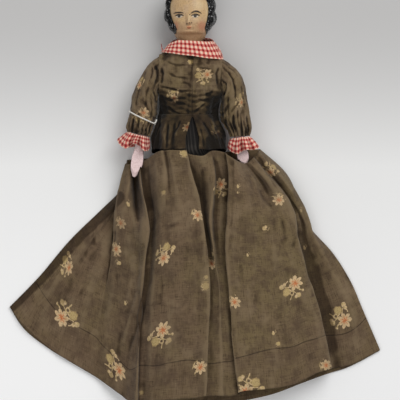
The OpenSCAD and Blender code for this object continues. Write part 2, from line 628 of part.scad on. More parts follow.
body();
hair();
nose();
shoulder_peg();
hip_peg();
upper_arm(right);  // upper_arm_right
upper_arm(left);  // upper_arm_left
elbow_peg(right);  // elbow_peg_right
elbow_peg(left);  // elbow_peg_left
forearm(right, hand_l);  // forearm_right
forearm(left, curled_hand_l);  // forearm_left
thigh(right);  // thigh_right
thigh(left);  // thigh_left
knee_peg(right);  // knee_peg_right
knee_peg(left);  // knee_peg_left
shin(right);  // shin_right
shin(left);  // shin_left
collar();
bodice();
peplum();
sleeve(right);  // sleeve_right
sleeve(left);  // sleeve_left
cuff(right);  // cuff_right
cuff(left);  // cuff_left
sleeve_string();
petticoat();
skirt_front();
skirt_back();
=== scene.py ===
import math
import bmesh
import bpy
import numpy as np
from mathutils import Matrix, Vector, noise


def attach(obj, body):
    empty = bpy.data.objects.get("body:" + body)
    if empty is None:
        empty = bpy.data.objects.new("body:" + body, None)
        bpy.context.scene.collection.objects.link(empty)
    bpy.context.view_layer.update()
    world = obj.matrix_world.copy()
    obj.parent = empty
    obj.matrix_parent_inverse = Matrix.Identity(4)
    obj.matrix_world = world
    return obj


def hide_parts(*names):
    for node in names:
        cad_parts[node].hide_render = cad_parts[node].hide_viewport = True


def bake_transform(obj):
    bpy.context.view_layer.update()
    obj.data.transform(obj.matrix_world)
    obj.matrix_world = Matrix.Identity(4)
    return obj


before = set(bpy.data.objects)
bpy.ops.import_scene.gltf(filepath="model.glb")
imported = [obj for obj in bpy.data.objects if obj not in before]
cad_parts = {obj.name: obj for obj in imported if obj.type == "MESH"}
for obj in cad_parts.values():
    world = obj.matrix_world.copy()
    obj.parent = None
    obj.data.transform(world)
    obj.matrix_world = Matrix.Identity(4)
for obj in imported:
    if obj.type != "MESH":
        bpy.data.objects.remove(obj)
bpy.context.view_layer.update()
mm = 0.001

# The camera looks straight down at the middle of the photograph, where a pixel is a millimetre at this level
view = {"distance": 3.0, "centreX": 9.5 * mm, "centreY": -7 * mm, "level": 15 * mm, "width": 0.4,
        "sensor": 36, "middlePixel": 200}


def makeCamera():
    data = bpy.data.cameras.new("camera")
    data.sensor_width = view["sensor"]
    data.lens = view["sensor"] * view["distance"] / view["width"]
    data.clip_end = 20
    camera = bpy.data.objects.new("camera", data)
    camera.location = (view["centreX"], view["centreY"], view["level"] + view["distance"])
    bpy.context.scene.collection.objects.link(camera)
    bpy.context.scene.camera = camera


# The place seen at a pixel of the photograph, at z millimetres above the floor
def seen(px, py, z):
    near = 1 - (z * mm - view["level"]) / view["distance"]
    x, y = (px - view["middlePixel"]) * mm * near, (py - view["middlePixel"]) * mm * near
    return Vector((view["centreX"] + x, view["centreY"] - y, z * mm))


def seenLine(points):
    return np.array([seen(*p) for p in points])


class Recipe:
    def __init__(self, name):
        self.material = bpy.data.materials.new(name)
        self.material.use_nodes = True
        self.tree = self.material.node_tree
        self.shader = self.tree.nodes["Principled BSDF"]

    def put(self, socket, value):
        if isinstance(value, bpy.types.NodeSocket):
            self.tree.links.new(value, socket)
        elif hasattr(value, "__len__") and len(value) == 3 and socket.type == "RGBA":
            socket.default_value = (*value, 1)
        else:
            socket.default_value = value

    def node(self, kind, inputs, **settings):
        node = self.tree.nodes.new(kind)
        for key, value in settings.items():
            setattr(node, key, value)
        for key, value in inputs.items():
            self.put(node.inputs[key], value)
        return node

    def calc(self, operation, a, b=0.0, c=0.0):
        return self.node("ShaderNodeMath", {0: a, 1: b, 2: c}, operation=operation).outputs[0]

    def vector(self, operation, a, b=(0, 0, 0)):
        return self.node("ShaderNodeVectorMath", {0: a, 1: b}, operation=operation).outputs[0]

    def measure(self, operation, a, b=(0, 0, 0)):
        return self.node("ShaderNodeVectorMath", {0: a, 1: b}, operation=operation).outputs["Value"]

    def scaled(self, a, by):
        return self.vector("MULTIPLY", a, by)

    def mix(self, factor, a, b, blend="MIX"):
        node = self.node("ShaderNodeMix", {0: factor, 6: a, 7: b}, data_type="RGBA", blend_type=blend)
        return node.outputs[2]

    def step(self, value, low, high, start=0.0, end=1.0):
        return self.node("ShaderNodeMapRange", {0: value, 1: low, 2: high, 3: start, 4: end},
                         interpolation_type="SMOOTHSTEP").outputs[0]

    def grain(self, place, scale, detail=2.0, rough=0.5):
        return self.node("ShaderNodeTexNoise", {"Vector": place, "Scale": scale, "Detail": detail,
                                                "Roughness": rough}).outputs["Fac"]

    def attribute(self, name, output="Fac"):
        return self.node("ShaderNodeAttribute", {}, attribute_name=name).outputs[output]

    def weave(self):
        return self.node("ShaderNodeUVMap", {}, uv_map="weave").outputs[0]

    # Threads both ways: noise that is fine across each thread and drawn out along it
    def threads(self, thread, fine, drawn, detail, rough=0.5):
        warp = self.grain(self.scaled(thread, (fine, drawn, 1)), 1.0, detail, rough)
        weft = self.grain(self.scaled(thread, (drawn, fine, 1)), 1.0, detail, rough)
        return self.calc("MULTIPLY", self.calc("ADD", warp, weft), 0.5)

    def objectPlace(self):
        return self.node("ShaderNodeTexCoord", {}).outputs["Object"]

    def split(self, vector):
        return self.node("ShaderNodeSeparateXYZ", {0: vector}).outputs

    def join(self, x, y, z=0.0):
        return self.node("ShaderNodeCombineXYZ", {0: x, 1: y, 2: z}).outputs[0]

    def bump(self, height, distance, strength=1.0):
        normal = self.node("ShaderNodeBump", {"Height": height, "Distance": distance, "Strength": strength})
        self.put(self.shader.inputs["Normal"], normal.outputs[0])

    def finish(self, **values):
        for key, value in values.items():
            self.put(self.shader.inputs[key.replace("_", " ")], value)
        return self.material


def tint(r, g, b):
    return tuple(((v / 255 + 0.055) / 1.055) ** 2.4 if v > 10 else v / 255 / 12.92 for v in (r, g, b))


sprigInks = {"cream": tint(224, 194, 150), "tan": tint(196, 154, 104), "orange": tint(204, 116, 66),
             "olive": tint(198, 172, 118), "oliveDark": tint(150, 124, 78)}


# Shapes of a sprig in millimetres from its middle: flower and disc, each with its middle, radius, petals,
# inner share, turn, raggedness and gap, a ring's middle and two radii, dots, and stems with their half width
sprigShape = {"bloom": ((-4.2, -3.4), 8.2, 7, 0.45, 0.2, 0.42, 0.12),
              "disc": ((6.0, 3.4), 4.7, 7, 0.84, 0.0, 1.0, 0.01), "ring": ((0.2, 5.4), 2.5, 1.3), "half": 0.4,
              "dots": [((-6.6, 8.6), 2.6), ((-4.2, 9.8), 1.7), ((11.4, -2.4), 2.3), ((8.0, -4.4), 1.6),
                       ((-11.4, 4.4), 1.3)],
              "stems": [((-5.5, 7.6), (0, 2)), ((10, -2.2), (3.2, -0.6)), ((-10.6, 4.2), (-6, 1.5)),
                        ((0.8, 3.0), (3, 1.8)), ((0.2, 7.6), (2.2, 11.4)), ((7.4, -4.2), (4, -6.6))]}


# Flower sprig drawn from millimetres measured on the cloth round the middle of each sprig
def sprigPrint(r):
    x, y, near = r.split(r.attribute("sprig", "Vector"))
    flat = r.join(x, y)
    wobble = r.node("ShaderNodeTexNoise", {"Vector": flat, "Scale": 0.3, "Detail": 2.0}).outputs["Color"]
    local = r.vector("ADD", flat, r.scaled(r.vector("SUBTRACT", wobble, (0.5, 0.5, 0.5)), (2.6, 2.6, 0)))

    def petals(centre, radius, count, inner, turn, ragged, narrow):
        offset = r.vector("SUBTRACT", local, (*centre, 0))
        x, y, _ = r.split(offset)
        reach = r.calc("SQRT", r.calc("ADD", r.calc("MULTIPLY", x, x), r.calc("MULTIPLY", y, y)))
        lap = r.calc("ADD", r.calc("MULTIPLY", r.calc("ARCTAN2", y, x), count / (2 * math.pi)), turn)
        wave = r.calc("MULTIPLY", r.calc("PINGPONG", lap, 0.5), 2.0)
        which = r.node("ShaderNodeTexWhiteNoise", {"W": r.calc("ROUND", lap)}, noise_dimensions="1D")
        long = r.calc("MULTIPLY_ADD", which.outputs["Value"], -0.28 * (1 - inner), 1.0)
        edge = r.calc("MULTIPLY_ADD", r.calc("POWER", wave, ragged), radius * (1 - inner), radius * inner)
        edge = r.calc("MULTIPLY", edge, long)
        inside = r.step(r.calc("SUBTRACT", edge, reach), -0.25, 0.4)
        gap = r.calc("MULTIPLY", r.step(wave, narrow, narrow * 0.3),
                     r.step(reach, radius * 0.35, radius * 0.5))
        return r.calc("MULTIPLY", inside, r.calc("SUBTRACT", 1.0, gap)), r.calc("DIVIDE", reach, radius), wave

    def dot(centre, radius):
        return r.step(r.measure("DISTANCE", local, (*centre, 0)), radius + 0.35, radius - 0.35)

    def stem(a, b):
        a, b = Vector((*a, 0)), Vector((*b, 0))
        along = (b - a).normalized()
        offset = r.vector("SUBTRACT", local, tuple(a))
        run = r.measure("DOT_PRODUCT", offset, tuple(along))
        kept = r.calc("MINIMUM", r.calc("MAXIMUM", run, 0.0), (b - a).length)
        foot = r.node("ShaderNodeVectorMath", {0: tuple(along), "Scale": kept}, operation="SCALE").outputs[0]
        return r.step(r.measure("DISTANCE", offset, foot), sprigShape["half"] + 0.25,
                      sprigShape["half"] - 0.2)

    bloom, share, wave = petals(*sprigShape["bloom"])
    disc, discShare, _ = petals(*sprigShape["disc"])
    streak = r.calc("ADD", share, r.calc("MULTIPLY", r.calc("SUBTRACT", 1.0, wave), 0.34))
    blotch = r.calc("MULTIPLY_ADD", r.grain(local, 0.5, 2), 0.5, r.calc("SUBTRACT", streak, 0.25))
    paint = r.mix(r.step(blotch, 0.22, 0.7), sprigInks["orange"], sprigInks["cream"])
    paint = r.mix(r.step(r.grain(flat, 0.22, 2), 0.5, 0.7, 0, 0.55), paint, sprigInks["tan"])
    discPaint = r.mix(r.step(discShare, 0.62, 0.95), sprigInks["olive"], sprigInks["oliveDark"])
    paint = r.mix(disc, paint, discPaint)
    middle, outer, inner = sprigShape["ring"]
    buds = r.calc("MULTIPLY", dot(middle, outer), r.calc("SUBTRACT", 1.0, dot(middle, inner)))
    for mask in [dot(*spot) for spot in sprigShape["dots"]] + [stem(*ends) for ends in sprigShape["stems"]]:
        buds = r.calc("MAXIMUM", buds, mask)
    budPaint = r.mix(r.step(r.grain(local, 0.4, 1), 0.4, 0.6), sprigInks["olive"], sprigInks["cream"])
    paint = r.mix(buds, paint, budPaint)
    inked = r.calc("MAXIMUM", r.calc("MAXIMUM", bloom, disc), buds)
    worn = r.step(r.grain(local, 0.9, 3, 0.7), 0.28, 0.6, 0.45, 1.0)
    return r.calc("MULTIPLY", r.calc("MULTIPLY", inked, near), worn), paint


# The stitch attribute holds millimetres from a seam plus this offset, so that zero means no seam
stitching = {"offset": 50.0, "least": -47, "most": 200}
# The ridge tint is a painted highlight with rubbing, and the darkest tint a near-black painted shadow
brownCloth = {"base": tint(106, 87, 67), "dark": tint(80, 64, 50), "olive": tint(110, 94, 66),
              "hem": tint(98, 79, 62), "slub": tint(132, 113, 88), "hollow": tint(42, 32, 24),
              "ridge": tint(132, 114, 88), "thread": tint(62, 48, 35), "soot": tint(13, 11, 9),
              "threadGap": 0.62 * mm}


# The hollow attribute darkens the cloth as painted shade in its hollows, with blotches of dirt and more
# painted shade added by the stains, pales its ridges as painted highlight and rubbing, and above one turns it
# toward a near-black painted shadow: half is neither
def makeBrownCloth():
    r = Recipe("printedCalico")
    thread = r.weave()
    place = r.objectPlace()
    cross = r.threads(thread, 1300, 90, 2, 0.6)
    colour = r.mix(r.step(r.grain(place, 14, 4, 0.6), 0.36, 0.66), brownCloth["base"], brownCloth["olive"])
    colour = r.mix(r.step(r.grain(place, 60, 4, 0.65), 0.4, 0.68, 0, 0.75), colour, brownCloth["dark"])
    colour = r.mix(r.step(r.grain(place, 190, 3, 0.7), 0.5, 0.72, 0, 0.7), colour, brownCloth["dark"])
    colour = r.mix(r.step(r.grain(place, 27, 3, 0.6), 0.46, 0.28, 0, 0.5), colour, brownCloth["slub"])
    seam = r.calc("SUBTRACT", r.attribute("stitch"), stitching["offset"])
    band = r.calc("MULTIPLY", r.step(seam, stitching["least"] - 1, stitching["least"]),
                  r.step(seam, 0.4, -0.4))
    colour = r.mix(r.calc("MULTIPLY", band, 0.3), colour, brownCloth["hem"])
    colour = r.mix(r.step(cross, 0.5, 0.32, 0, 0.85), colour, brownCloth["thread"])
    colour = r.mix(r.step(cross, 0.56, 0.7, 0, 0.7), colour, brownCloth["slub"])
    line = r.step(r.calc("ABSOLUTE", seam), 0.8, 0.2)
    colour = r.mix(r.calc("MULTIPLY", line, 0.65), colour, brownCloth["hollow"])
    inked, paint = sprigPrint(r)
    woven = r.mix(1.0, paint, r.mix(cross, (0.35, 0.35, 0.35), (1, 1, 1)), "MULTIPLY")
    colour = r.mix(inked, colour, r.mix(0.4, paint, woven))
    hollow = r.attribute("hollow")
    # Painted shade in the hollows, painted highlight on the ridges, and near-black painted shadow where the
    # attribute runs above one
    colour = r.mix(r.step(hollow, 0.54, 1.0, 0, 0.86), colour,
                   r.mix(1.0, colour, (0.3, 0.27, 0.24), "MULTIPLY"))
    colour = r.mix(r.step(hollow, 0.45, 0.05, 0, 0.45), colour, brownCloth["ridge"])
    colour = r.mix(r.step(hollow, 1.0, 1.9, 0, 0.88), colour, brownCloth["soot"])
    pitch = 2 * math.pi / brownCloth["threadGap"]
    waves = [r.calc("SINE", r.calc("MULTIPLY", r.split(thread)[way], pitch)) for way in (0, 1)]
    fine = r.calc("MULTIPLY", *waves)
    height = r.calc("ADD", r.calc("MULTIPLY", cross, 1.6), r.calc("MULTIPLY", fine, 0.25))
    height = r.calc("SUBTRACT", height, r.calc("MULTIPLY", line, 1.2))
    r.bump(height, 0.00022, 0.9)
    return r.finish(Base_Color=colour, Roughness=0.92, Sheen_Weight=0.08, Sheen_Roughness=0.5,
                    Specular_IOR_Level=0.15)


ginghamInks = {"white": tint(226, 198, 176), "pink": tint(202, 112, 100), "red": tint(136, 34, 38),
               "check": 4.35}


def makeGingham():
    r = Recipe("redGingham")
    thread = r.weave()
    x, y, _ = r.split(thread)

    def stripe(value):
        lap = r.calc("PINGPONG", r.calc("MULTIPLY", value, 1000 / ginghamInks["check"]), 0.5)
        return r.step(lap, 0.21, 0.29)

    a, b = stripe(x), stripe(y)
    both = r.calc("MULTIPLY", a, b)
    colour = r.mix(r.calc("MAXIMUM", a, b), ginghamInks["white"], ginghamInks["pink"])
    colour = r.mix(both, colour, ginghamInks["red"])
    cross = r.threads(thread, 2600, 260, 1)
    colour = r.mix(r.step(cross, 0.5, 0.3, 0, 0.4), colour, r.mix(1.0, colour, (0.45, 0.4, 0.38), "MULTIPLY"))
    seam = r.calc("SUBTRACT", r.attribute("stitch"), stitching["offset"])
    line = r.step(r.calc("ABSOLUTE", seam), 0.6, 0.2)
    colour = r.mix(r.calc("MULTIPLY", line, 0.5), colour, tint(170, 70, 66))
    hollow = r.attribute("hollow")
    # Painted shade in the hollows of the gingham
    colour = r.mix(r.step(hollow, 0.54, 1.0, 0, 0.8), colour,
                   r.mix(1.0, colour, (0.42, 0.3, 0.28), "MULTIPLY"))
    r.bump(r.calc("SUBTRACT", cross, line), 0.0002, 0.8)
    return r.finish(Base_Color=colour, Roughness=0.9, Sheen_Weight=0.1, Specular_IOR_Level=0.15)


def makeBlackCloth():
    r = Recipe("blackCotton")
    thread = r.weave()
    warp = r.grain(r.scaled(thread, (1500, 120, 1)), 1.0, 2)
    colour = r.mix(warp, tint(10, 9, 9), tint(32, 29, 27))
    hollow = r.attribute("hollow")
    # Painted highlight along the ridges of the pleats
    colour = r.mix(r.step(hollow, 0.5, 0.1, 0, 0.9), colour, tint(58, 54, 50))
    r.bump(warp, 0.0002, 0.8)
    return r.finish(Base_Color=colour, Roughness=0.85, Specular_IOR_Level=0.2)


def makeWood():
    r = Recipe("agedPine")
    place = r.objectPlace()
    ring = r.grain(r.scaled(place, (260, 18, 260)), 1.0, 3, 0.6)
    colour = r.mix(r.step(ring, 0.35, 0.65), tint(150, 112, 70), tint(204, 168, 118))
    colour = r.mix(r.step(r.grain(place, 45, 3), 0.5, 0.8, 0, 0.5), colour, tint(120, 84, 50))
    r.bump(ring, 0.0002, 0.5)
    return r.finish(Base_Color=colour, Roughness=0.6, Specular_IOR_Level=0.35)


facePaint = {"skin": tint(184, 154, 118), "ochre": tint(190, 157, 112), "low": tint(178, 143, 106),
             "neck": tint(160, 122, 88), "worn": tint(132, 102, 74), "pale": tint(214, 190, 148),
             "white": tint(204, 194, 176), "iris": tint(52, 56, 60), "line": tint(26, 20, 18),
             "brow": tint(34, 24, 18), "mouth": tint(204, 126, 84), "lip": tint(122, 62, 36),
             "rouge": tint(172, 92, 70)}


# Skin with painted features, placed in millimetres across and up the front of the head
def makeFacePaint():
    r = Recipe("facePaint")
    place = r.scaled(r.objectPlace(), (1000, 1000, 1000))
    x, y, z = r.split(place)
    front = r.step(z, 30, 36)
    flat = r.join(x, y)
    cloudy = r.grain(place, 0.11, 4, 0.6)
    speck = r.grain(place, 0.9, 3, 0.65)
    colour = r.mix(r.step(cloudy, 0.35, 0.65), facePaint["skin"], facePaint["ochre"])
    colour = r.mix(r.step(y, 172, 163), colour, facePaint["low"])
    # Below the chin the paint goes to the darker neck tint, a painted shade under the chin
    colour = r.mix(r.step(y, 160.5, 157.5), colour, facePaint["neck"])
    colour = r.mix(r.step(speck, 0.5, 0.75, 0, 0.65), colour, facePaint["worn"])
    colour = r.mix(r.step(r.grain(place, 0.3, 4, 0.7), 0.52, 0.7, 0, 0.5), colour, facePaint["worn"])
    colour = r.mix(r.step(speck, 0.46, 0.3, 0, 0.35), colour, facePaint["pale"])

    def oval(cx, cy, rx, ry, soft=0.2):
        offset = r.scaled(r.vector("SUBTRACT", flat, (cx, cy, 0)), (1 / rx, 1 / ry, 0))
        length = r.measure("LENGTH", offset)
        return r.calc("MULTIPLY", r.step(length, 1 + soft, 1 - soft), front)

    def stroke(cx, cy, half, rise, thick):
        away = r.calc("DIVIDE", r.calc("SUBTRACT", x, cx), half)
        square = r.calc("MULTIPLY", away, away)
        height = r.calc("MULTIPLY_ADD", square, -rise, cy + rise)
        edge = r.calc("MULTIPLY_ADD", square, -thick * 0.6, thick)
        off = r.calc("ABSOLUTE", r.calc("SUBTRACT", y, height))
        inside = r.step(r.calc("SUBTRACT", off, edge), 0.18, -0.18)
        return r.calc("MULTIPLY", r.calc("MULTIPLY", inside, r.step(square, 1.1, 0.8)), front)

    # The pale oval high on the forehead and the long pale oval down the nose are painted highlights, and the
    # worn-ink oval beside the nose is painted shade
    layers = [(oval(8.5, 186, 5, 4, 0.8), 0.55, "pale"), (oval(-14.3, 165.8, 2.4, 4.2, 0.7), 0.5, "rouge"),
              (oval(12.0, 165.4, 4.6, 4.6, 0.7), 0.5, "rouge"),
              (stroke(-11.8, 177.9, 5.2, 0.8, 0.75), 1.0, "brow"),
              (stroke(5.7, 177.3, 5.6, 2.4, 0.95), 1.0, "brow"),
              (oval(-4.2, 172.0, 1.0, 4.4, 0.7), 0.5, "worn"),
              (oval(-1.4, 173.4, 1.3, 3.2, 0.6), 0.4, "pale")]
    for cx, cy in ((-11.2, 174.9), (4.75, 174.9)):
        layers += [(oval(cx, cy, 3.0, 1.45), 0.8, "white"), (oval(cx, cy + 0.1, 1.5, 1.4), 0.95, "iris"),
                   (oval(cx, cy + 0.1, 1.0, 1.0), 1.0, "line"),
                   (stroke(cx + 0.3, cy + 0.6, 4.4, 1.0, 0.95), 1.0, "line"),
                   (stroke(cx, cy - 0.7, 2.7, -0.9, 0.2), 0.5, "brow")]
    layers += [(oval(-0.6, 176.4, 0.8, 0.55), 0.85, "brow"), (oval(-3.5, 167.2, 0.75, 0.5), 0.9, "brow"),
               (oval(-0.9, 168.2, 0.6, 0.55), 0.9, "line"), (oval(1.3, 168.2, 0.65, 0.55), 0.9, "line"),
               (oval(-1.4, 164.6, 2.4, 0.9), 0.62, "mouth"), (oval(-1.5, 163.0, 1.9, 0.8), 0.4, "mouth"),
               (stroke(-1.4, 163.7, 1.9, -0.4, 0.6), 0.95, "lip")]
    # A pale line along the face's outline is a painted highlight on its edge
    rim = r.calc("MULTIPLY", r.step(r.calc("ABSOLUTE", r.calc("ADD", x, 1.6)), 15.6, 17.6, 0, 0.4), front)
    colour = r.mix(r.calc("MULTIPLY", rim, r.step(y, 158, 162)), colour, facePaint["pale"])
    chipped = r.step(r.grain(place, 1.7, 2, 0.6), 0.28, 0.44)
    for mask, strength, ink in layers:
        colour = r.mix(r.calc("MULTIPLY", r.calc("MULTIPLY", mask, chipped), strength), colour,
                       facePaint[ink])
    r.bump(r.calc("ADD", speck, cloudy), 0.0003, 0.5)
    return r.finish(Base_Color=colour, Roughness=0.5, Specular_IOR_Level=0.4)


def makeHandPaint():
    r = Recipe("pinkPaint")
    place = r.objectPlace()
    speck = r.grain(place, 900, 3, 0.6)
    patch = r.grain(place, 110, 4, 0.7)
    colour = r.mix(r.step(speck, 0.3, 0.7), tint(214, 186, 184), tint(236, 212, 210))
    colour = r.mix(r.step(patch, 0.6, 0.72, 0, 0.7), colour, tint(186, 150, 134))
    r.bump(speck, 0.0002, 0.6)
    return r.finish(Base_Color=colour, Roughness=0.55, Specular_IOR_Level=0.35)


def makeHairPaint():
    r = Recipe("blackGloss")
    place = r.objectPlace()
    worn = r.grain(place, 420, 4, 0.7)
    colour = r.mix(r.step(worn, 0.58, 0.8), tint(5, 5, 6), tint(30, 28, 28))
    # Small pale specks are painted glints on the black gloss
    colour = r.mix(r.step(r.grain(place, 620, 2, 0.7), 0.6, 0.64, 0, 0.85), colour, tint(176, 175, 174))
    r.bump(r.calc("ADD", worn, r.calc("MULTIPLY", r.grain(place, 150, 3), 2.0)), 0.0006, 0.7)
    return r.finish(Base_Color=colour, Roughness=0.36, Specular_IOR_Level=0.16)


def makeStringFibre():
    r = Recipe("whiteString")
    thread = r.weave()
    x, y, _ = r.split(thread)
    twist = r.calc("SINE", r.calc("MULTIPLY", r.calc("ADD", r.calc("MULTIPLY", x, 2.0), y),
                                  2 * math.pi / 0.0022))
    colour = r.mix(r.step(twist, -0.6, 0.6), tint(206, 200, 190), tint(242, 239, 232))
    r.bump(twist, 0.0002, 0.8)
    return r.finish(Base_Color=colour, Roughness=0.8, Specular_IOR_Level=0.2)


# Smooth line through uneven stations, for any number of columns of values
def through(stations, values, t):
    s, v, t = np.asarray(stations, float), np.asarray(values, float), np.asarray(t, float)
    slope = np.gradient(v, s, axis=0, edge_order=1)
    k = np.clip(np.searchsorted(s, t, side="right") - 1, 0, len(s) - 2)
    h = s[k + 1] - s[k]
    u = np.clip((t - s[k]) / h, 0, 1)
    if v.ndim > 1:
        u, h = u[..., None], h[..., None]
    a, b = 2 * u ** 3 - 3 * u ** 2 + 1, u ** 3 - 2 * u ** 2 + u
    return a * v[k] + b * h * slope[k] + (1 - a) * v[k + 1] + (u ** 3 - u ** 2) * h * slope[k + 1]


def ease(t):
    t = np.clip(t, 0, 1)
    return t * t * (3 - 2 * t)


# Soft crumple over a grid of points: noise of one size, in the points' own unit, stretched along each axis
def crumple(points, size, seed, stretch=(1, 1, 1)):
    flat = points.reshape(-1, 3) / size / np.array(stretch)
    values = [noise.noise(Vector((p[0] + seed, p[1] - seed, p[2]))) for p in flat]
    return np.array(values).reshape(points.shape[:-1])


def surfaceNormals(points, wrap):
    if wrap:
        across = np.roll(points[:, :-1], -1, 1) - np.roll(points[:, :-1], 1, 1)
        across = np.concatenate([across, across[:, :1]], 1)
    else:
        across = np.gradient(points, axis=1)
    down = np.gradient(points, axis=0)
    normal = np.cross(down, across)
    return normal / np.maximum(np.linalg.norm(normal, axis=-1, keepdims=True), 1e-9)


# Normals of a closed sleeve of points, turned to the outside
def outwardNormals(points, turn):
    normal = surfaceNormals(points, True)
    return normal * np.sign((normal[..., 2] * np.sin(turn)).sum())


# Mean of a grid of points over so many cells each way
def softened(points, wrap, cells):
    for way, reach in ((0, cells[0]), (1, cells[1])):
        mode = "wrap" if wrap and way else "edge"
        body = points[:, :-1] if mode == "wrap" else points
        pad = [(0, 0)] * 3
        pad[way] = (reach + 1, reach)
        total = np.cumsum(np.pad(body, pad, mode=mode), axis=way)
        low, high = [slice(None)] * 3, [slice(None)] * 3
        low[way], high[way] = slice(0, -2 * reach - 1), slice(2 * reach + 1, None)
        body = (total[tuple(high)] - total[tuple(low)]) / (2 * reach + 1)
        points = np.concatenate([body, body[:, :1]], 1) if mode == "wrap" else body
    return points


# How hollow the cloth is at each point, from 0 on a ridge through a half on the flat to a given most
def hollows(points, wrap, core, depth, most=1):
    normal = surfaceNormals(points, wrap)
    if ((points - np.array(core)) * normal).sum() < 0:
        normal = -normal
    step = [np.linalg.norm(np.diff(points, axis=way), axis=-1).mean() for way in (0, 1)]
    deep = 0
    for size, share in ((2.5 * mm, 0.9), (6 * mm, 0.5)):
        cells = [max(1, min(round(size / one), points.shape[way] // 4)) for way, one in enumerate(step)]
        deep = deep + share * ((softened(points, wrap, cells) - points) * normal).sum(-1)
    return np.clip(0.5 + 0.5 * deep / depth, 0, most)


# How far each point lies, seen from above, from a line through spots of the photograph, and at what share of
# the line's length it is nearest
def nearLine(flat, line, z):
    spots = np.array([seen(*p, z)[:2] for p in line])
    lengths = np.linalg.norm(np.diff(spots, axis=0), axis=1)
    near, along = np.full(flat.shape[:2], 1.0), np.zeros(flat.shape[:2])
    for k, length in enumerate(lengths):
        way = (spots[k + 1] - spots[k]) / length
        run = np.clip(((flat - spots[k]) * way).sum(-1), 0, length)
        away = np.linalg.norm(flat - spots[k] - run[..., None] * way, axis=-1)
        closer = away < near
        near[closer], along[closer] = away[closer], (lengths[:k].sum() + run[closer]) / lengths.sum()
    return near, along


creaseHeight = 12  # millimetres above the front's limit at which the spots of creases are read


# Pulls creases into a sheet along lines through spots of the photograph: each line is followed by
# its depth and half width in millimetres, and fades towards both of its ends
def creased(points, wrap, creases, front):
    normal = surfaceNormals(points, wrap)
    if normal[..., 2][points[..., 2] > front].sum() < 0:
        normal = -normal
    pull = np.zeros(points.shape[:2])
    for line, depth, half in creases:
        near, along = nearLine(points[..., :2], line, front / mm + creaseHeight)
        fade = ease(np.minimum(along, 1 - along) / 0.22) * 0.85 + 0.15
        pull += depth * np.exp(-(near / (half * mm)) ** 2) * fade
    pull *= points[..., 2] > front
    return points - normal * (pull * mm)[..., None]


# A sheet laid out on a grid: place(u, v) gives its points, u across it and v down it. Its shading of hollows
# gives the depth in millimetres of a full hollow, and the most that a hollow counts for alone and with its
# stains and painted shade
def makeSheet(name, cols, rows, place, material, wrap=False, caps=False, sprigs=(), stitch=None, under=None,
              stainAndShade=None, hollowShading=(0.75, 1, 1)):
    u, v = np.meshgrid(np.linspace(0, 1, cols + 1), np.linspace(0, 1, rows + 1))
    points = place(u, v)
    if caps:
        ends = [np.broadcast_to(row.mean(0), row.shape)[None] for row in (points[0, :-1], points[-1, :-1])]
        ends = [np.concatenate([end, end[:, :1]], 1) for end in ends]
        points = np.concatenate([ends[0], points, ends[1]])
        u, v = np.concatenate([u[:1], u, u[-1:]]), np.concatenate([v[:1], v, v[-1:]])
        rows += 2
    mark, reach = np.zeros(points.shape), np.full(points.shape[:2], np.inf)
    for spot in sprigs:
        markSprig(points, mark, reach, *spot)
    core = points.reshape(-1, 3).mean(0) if under is None else under
    depth, deepest, most = hollowShading
    # Hollows, with any stains and painted shade added, set the hollow attribute, which paints shade into the
    # cloth's colour
    hollow = hollows(points, wrap, core, depth * mm, deepest)
    if stainAndShade is not None:
        hollow = np.clip(hollow + stainAndShade(points), 0, most)
    steps = [np.linalg.norm(np.diff(points, axis=way), axis=-1).mean(1 - way) for way in (1, 0)]
    over, down = (np.concatenate([[0], np.cumsum(one)]) for one in steps)
    bm = bmesh.new()
    bmesh.ops.create_grid(bm, x_segments=cols, y_segments=rows, size=0.5)
    uvLayer = bm.loops.layers.uv.new("weave")
    sprigLayer = bm.verts.layers.float_vector.new("sprig")
    stitchLayer = bm.verts.layers.float.new("stitch")
    hollowLayer = bm.verts.layers.float.new("hollow")
    seamAt = None if stitch is None else stitch(u, v, points)

    def cell(vert):
        return round((0.5 - vert.co.y) * rows), round((vert.co.x + 0.5) * cols)

    for face in bm.faces:
        for loop in face.loops:
            i, j = cell(loop.vert)
            loop[uvLayer].uv = (over[j], down[-1] - down[i])
    for vert in bm.verts:
        i, j = cell(vert)
        vert.co = points[i, j]
        vert[sprigLayer] = mark[i, j]
        vert[hollowLayer] = hollow[i, j]
        vert[stitchLayer] = 0.0 if seamAt is None else seamAt[i, j]
    if wrap or caps:
        bmesh.ops.remove_doubles(bm, verts=bm.verts, dist=1e-6)
    bm.normal_update()
    core = Vector(core)
    if sum((face.calc_center_median() - core).dot(face.normal) * face.calc_area() for face in bm.faces) < 0:
        bmesh.ops.reverse_faces(bm, faces=bm.faces)
    return finishMesh(name, bm, material)


def finishMesh(name, bm, material):
    mesh = bpy.data.meshes.new(name)
    bm.to_mesh(mesh)
    bm.free()
    mesh.shade_smooth()
    mesh.materials.append(material)
    piece = bpy.data.objects.new(name, mesh)
    bpy.context.scene.collection.objects.link(piece)
    return piece


# What of a printed sprig shows at a spot: its middle and how far from there, in millimetres of the print
sprigParts = {"all": (0, 0, 15.5), "bloom": (-4.2, -3.4, 9.6), "disc": (6, 3.4, 6.0),
              "buds": (-5.2, 8.6, 5.2)}


# How a sprig is laid, in millimetres: the height at which its spot is read, how near to it the uppermost
# cloth is looked for, from how far off it is left out, and the margin and soft edge of what shows
sprigLaying = {"height": 30, "spare": 0.6, "near": 1.2, "far": 6, "margin": 7, "edge": 1.2}


# Length passed along the cloth from its first row or column of points
def lengthAlong(points, axis):
    steps = np.linalg.norm(np.diff(points, axis=axis), axis=-1)
    return np.concatenate([np.zeros_like(steps.take([0], axis)), np.cumsum(steps, axis)], axis)


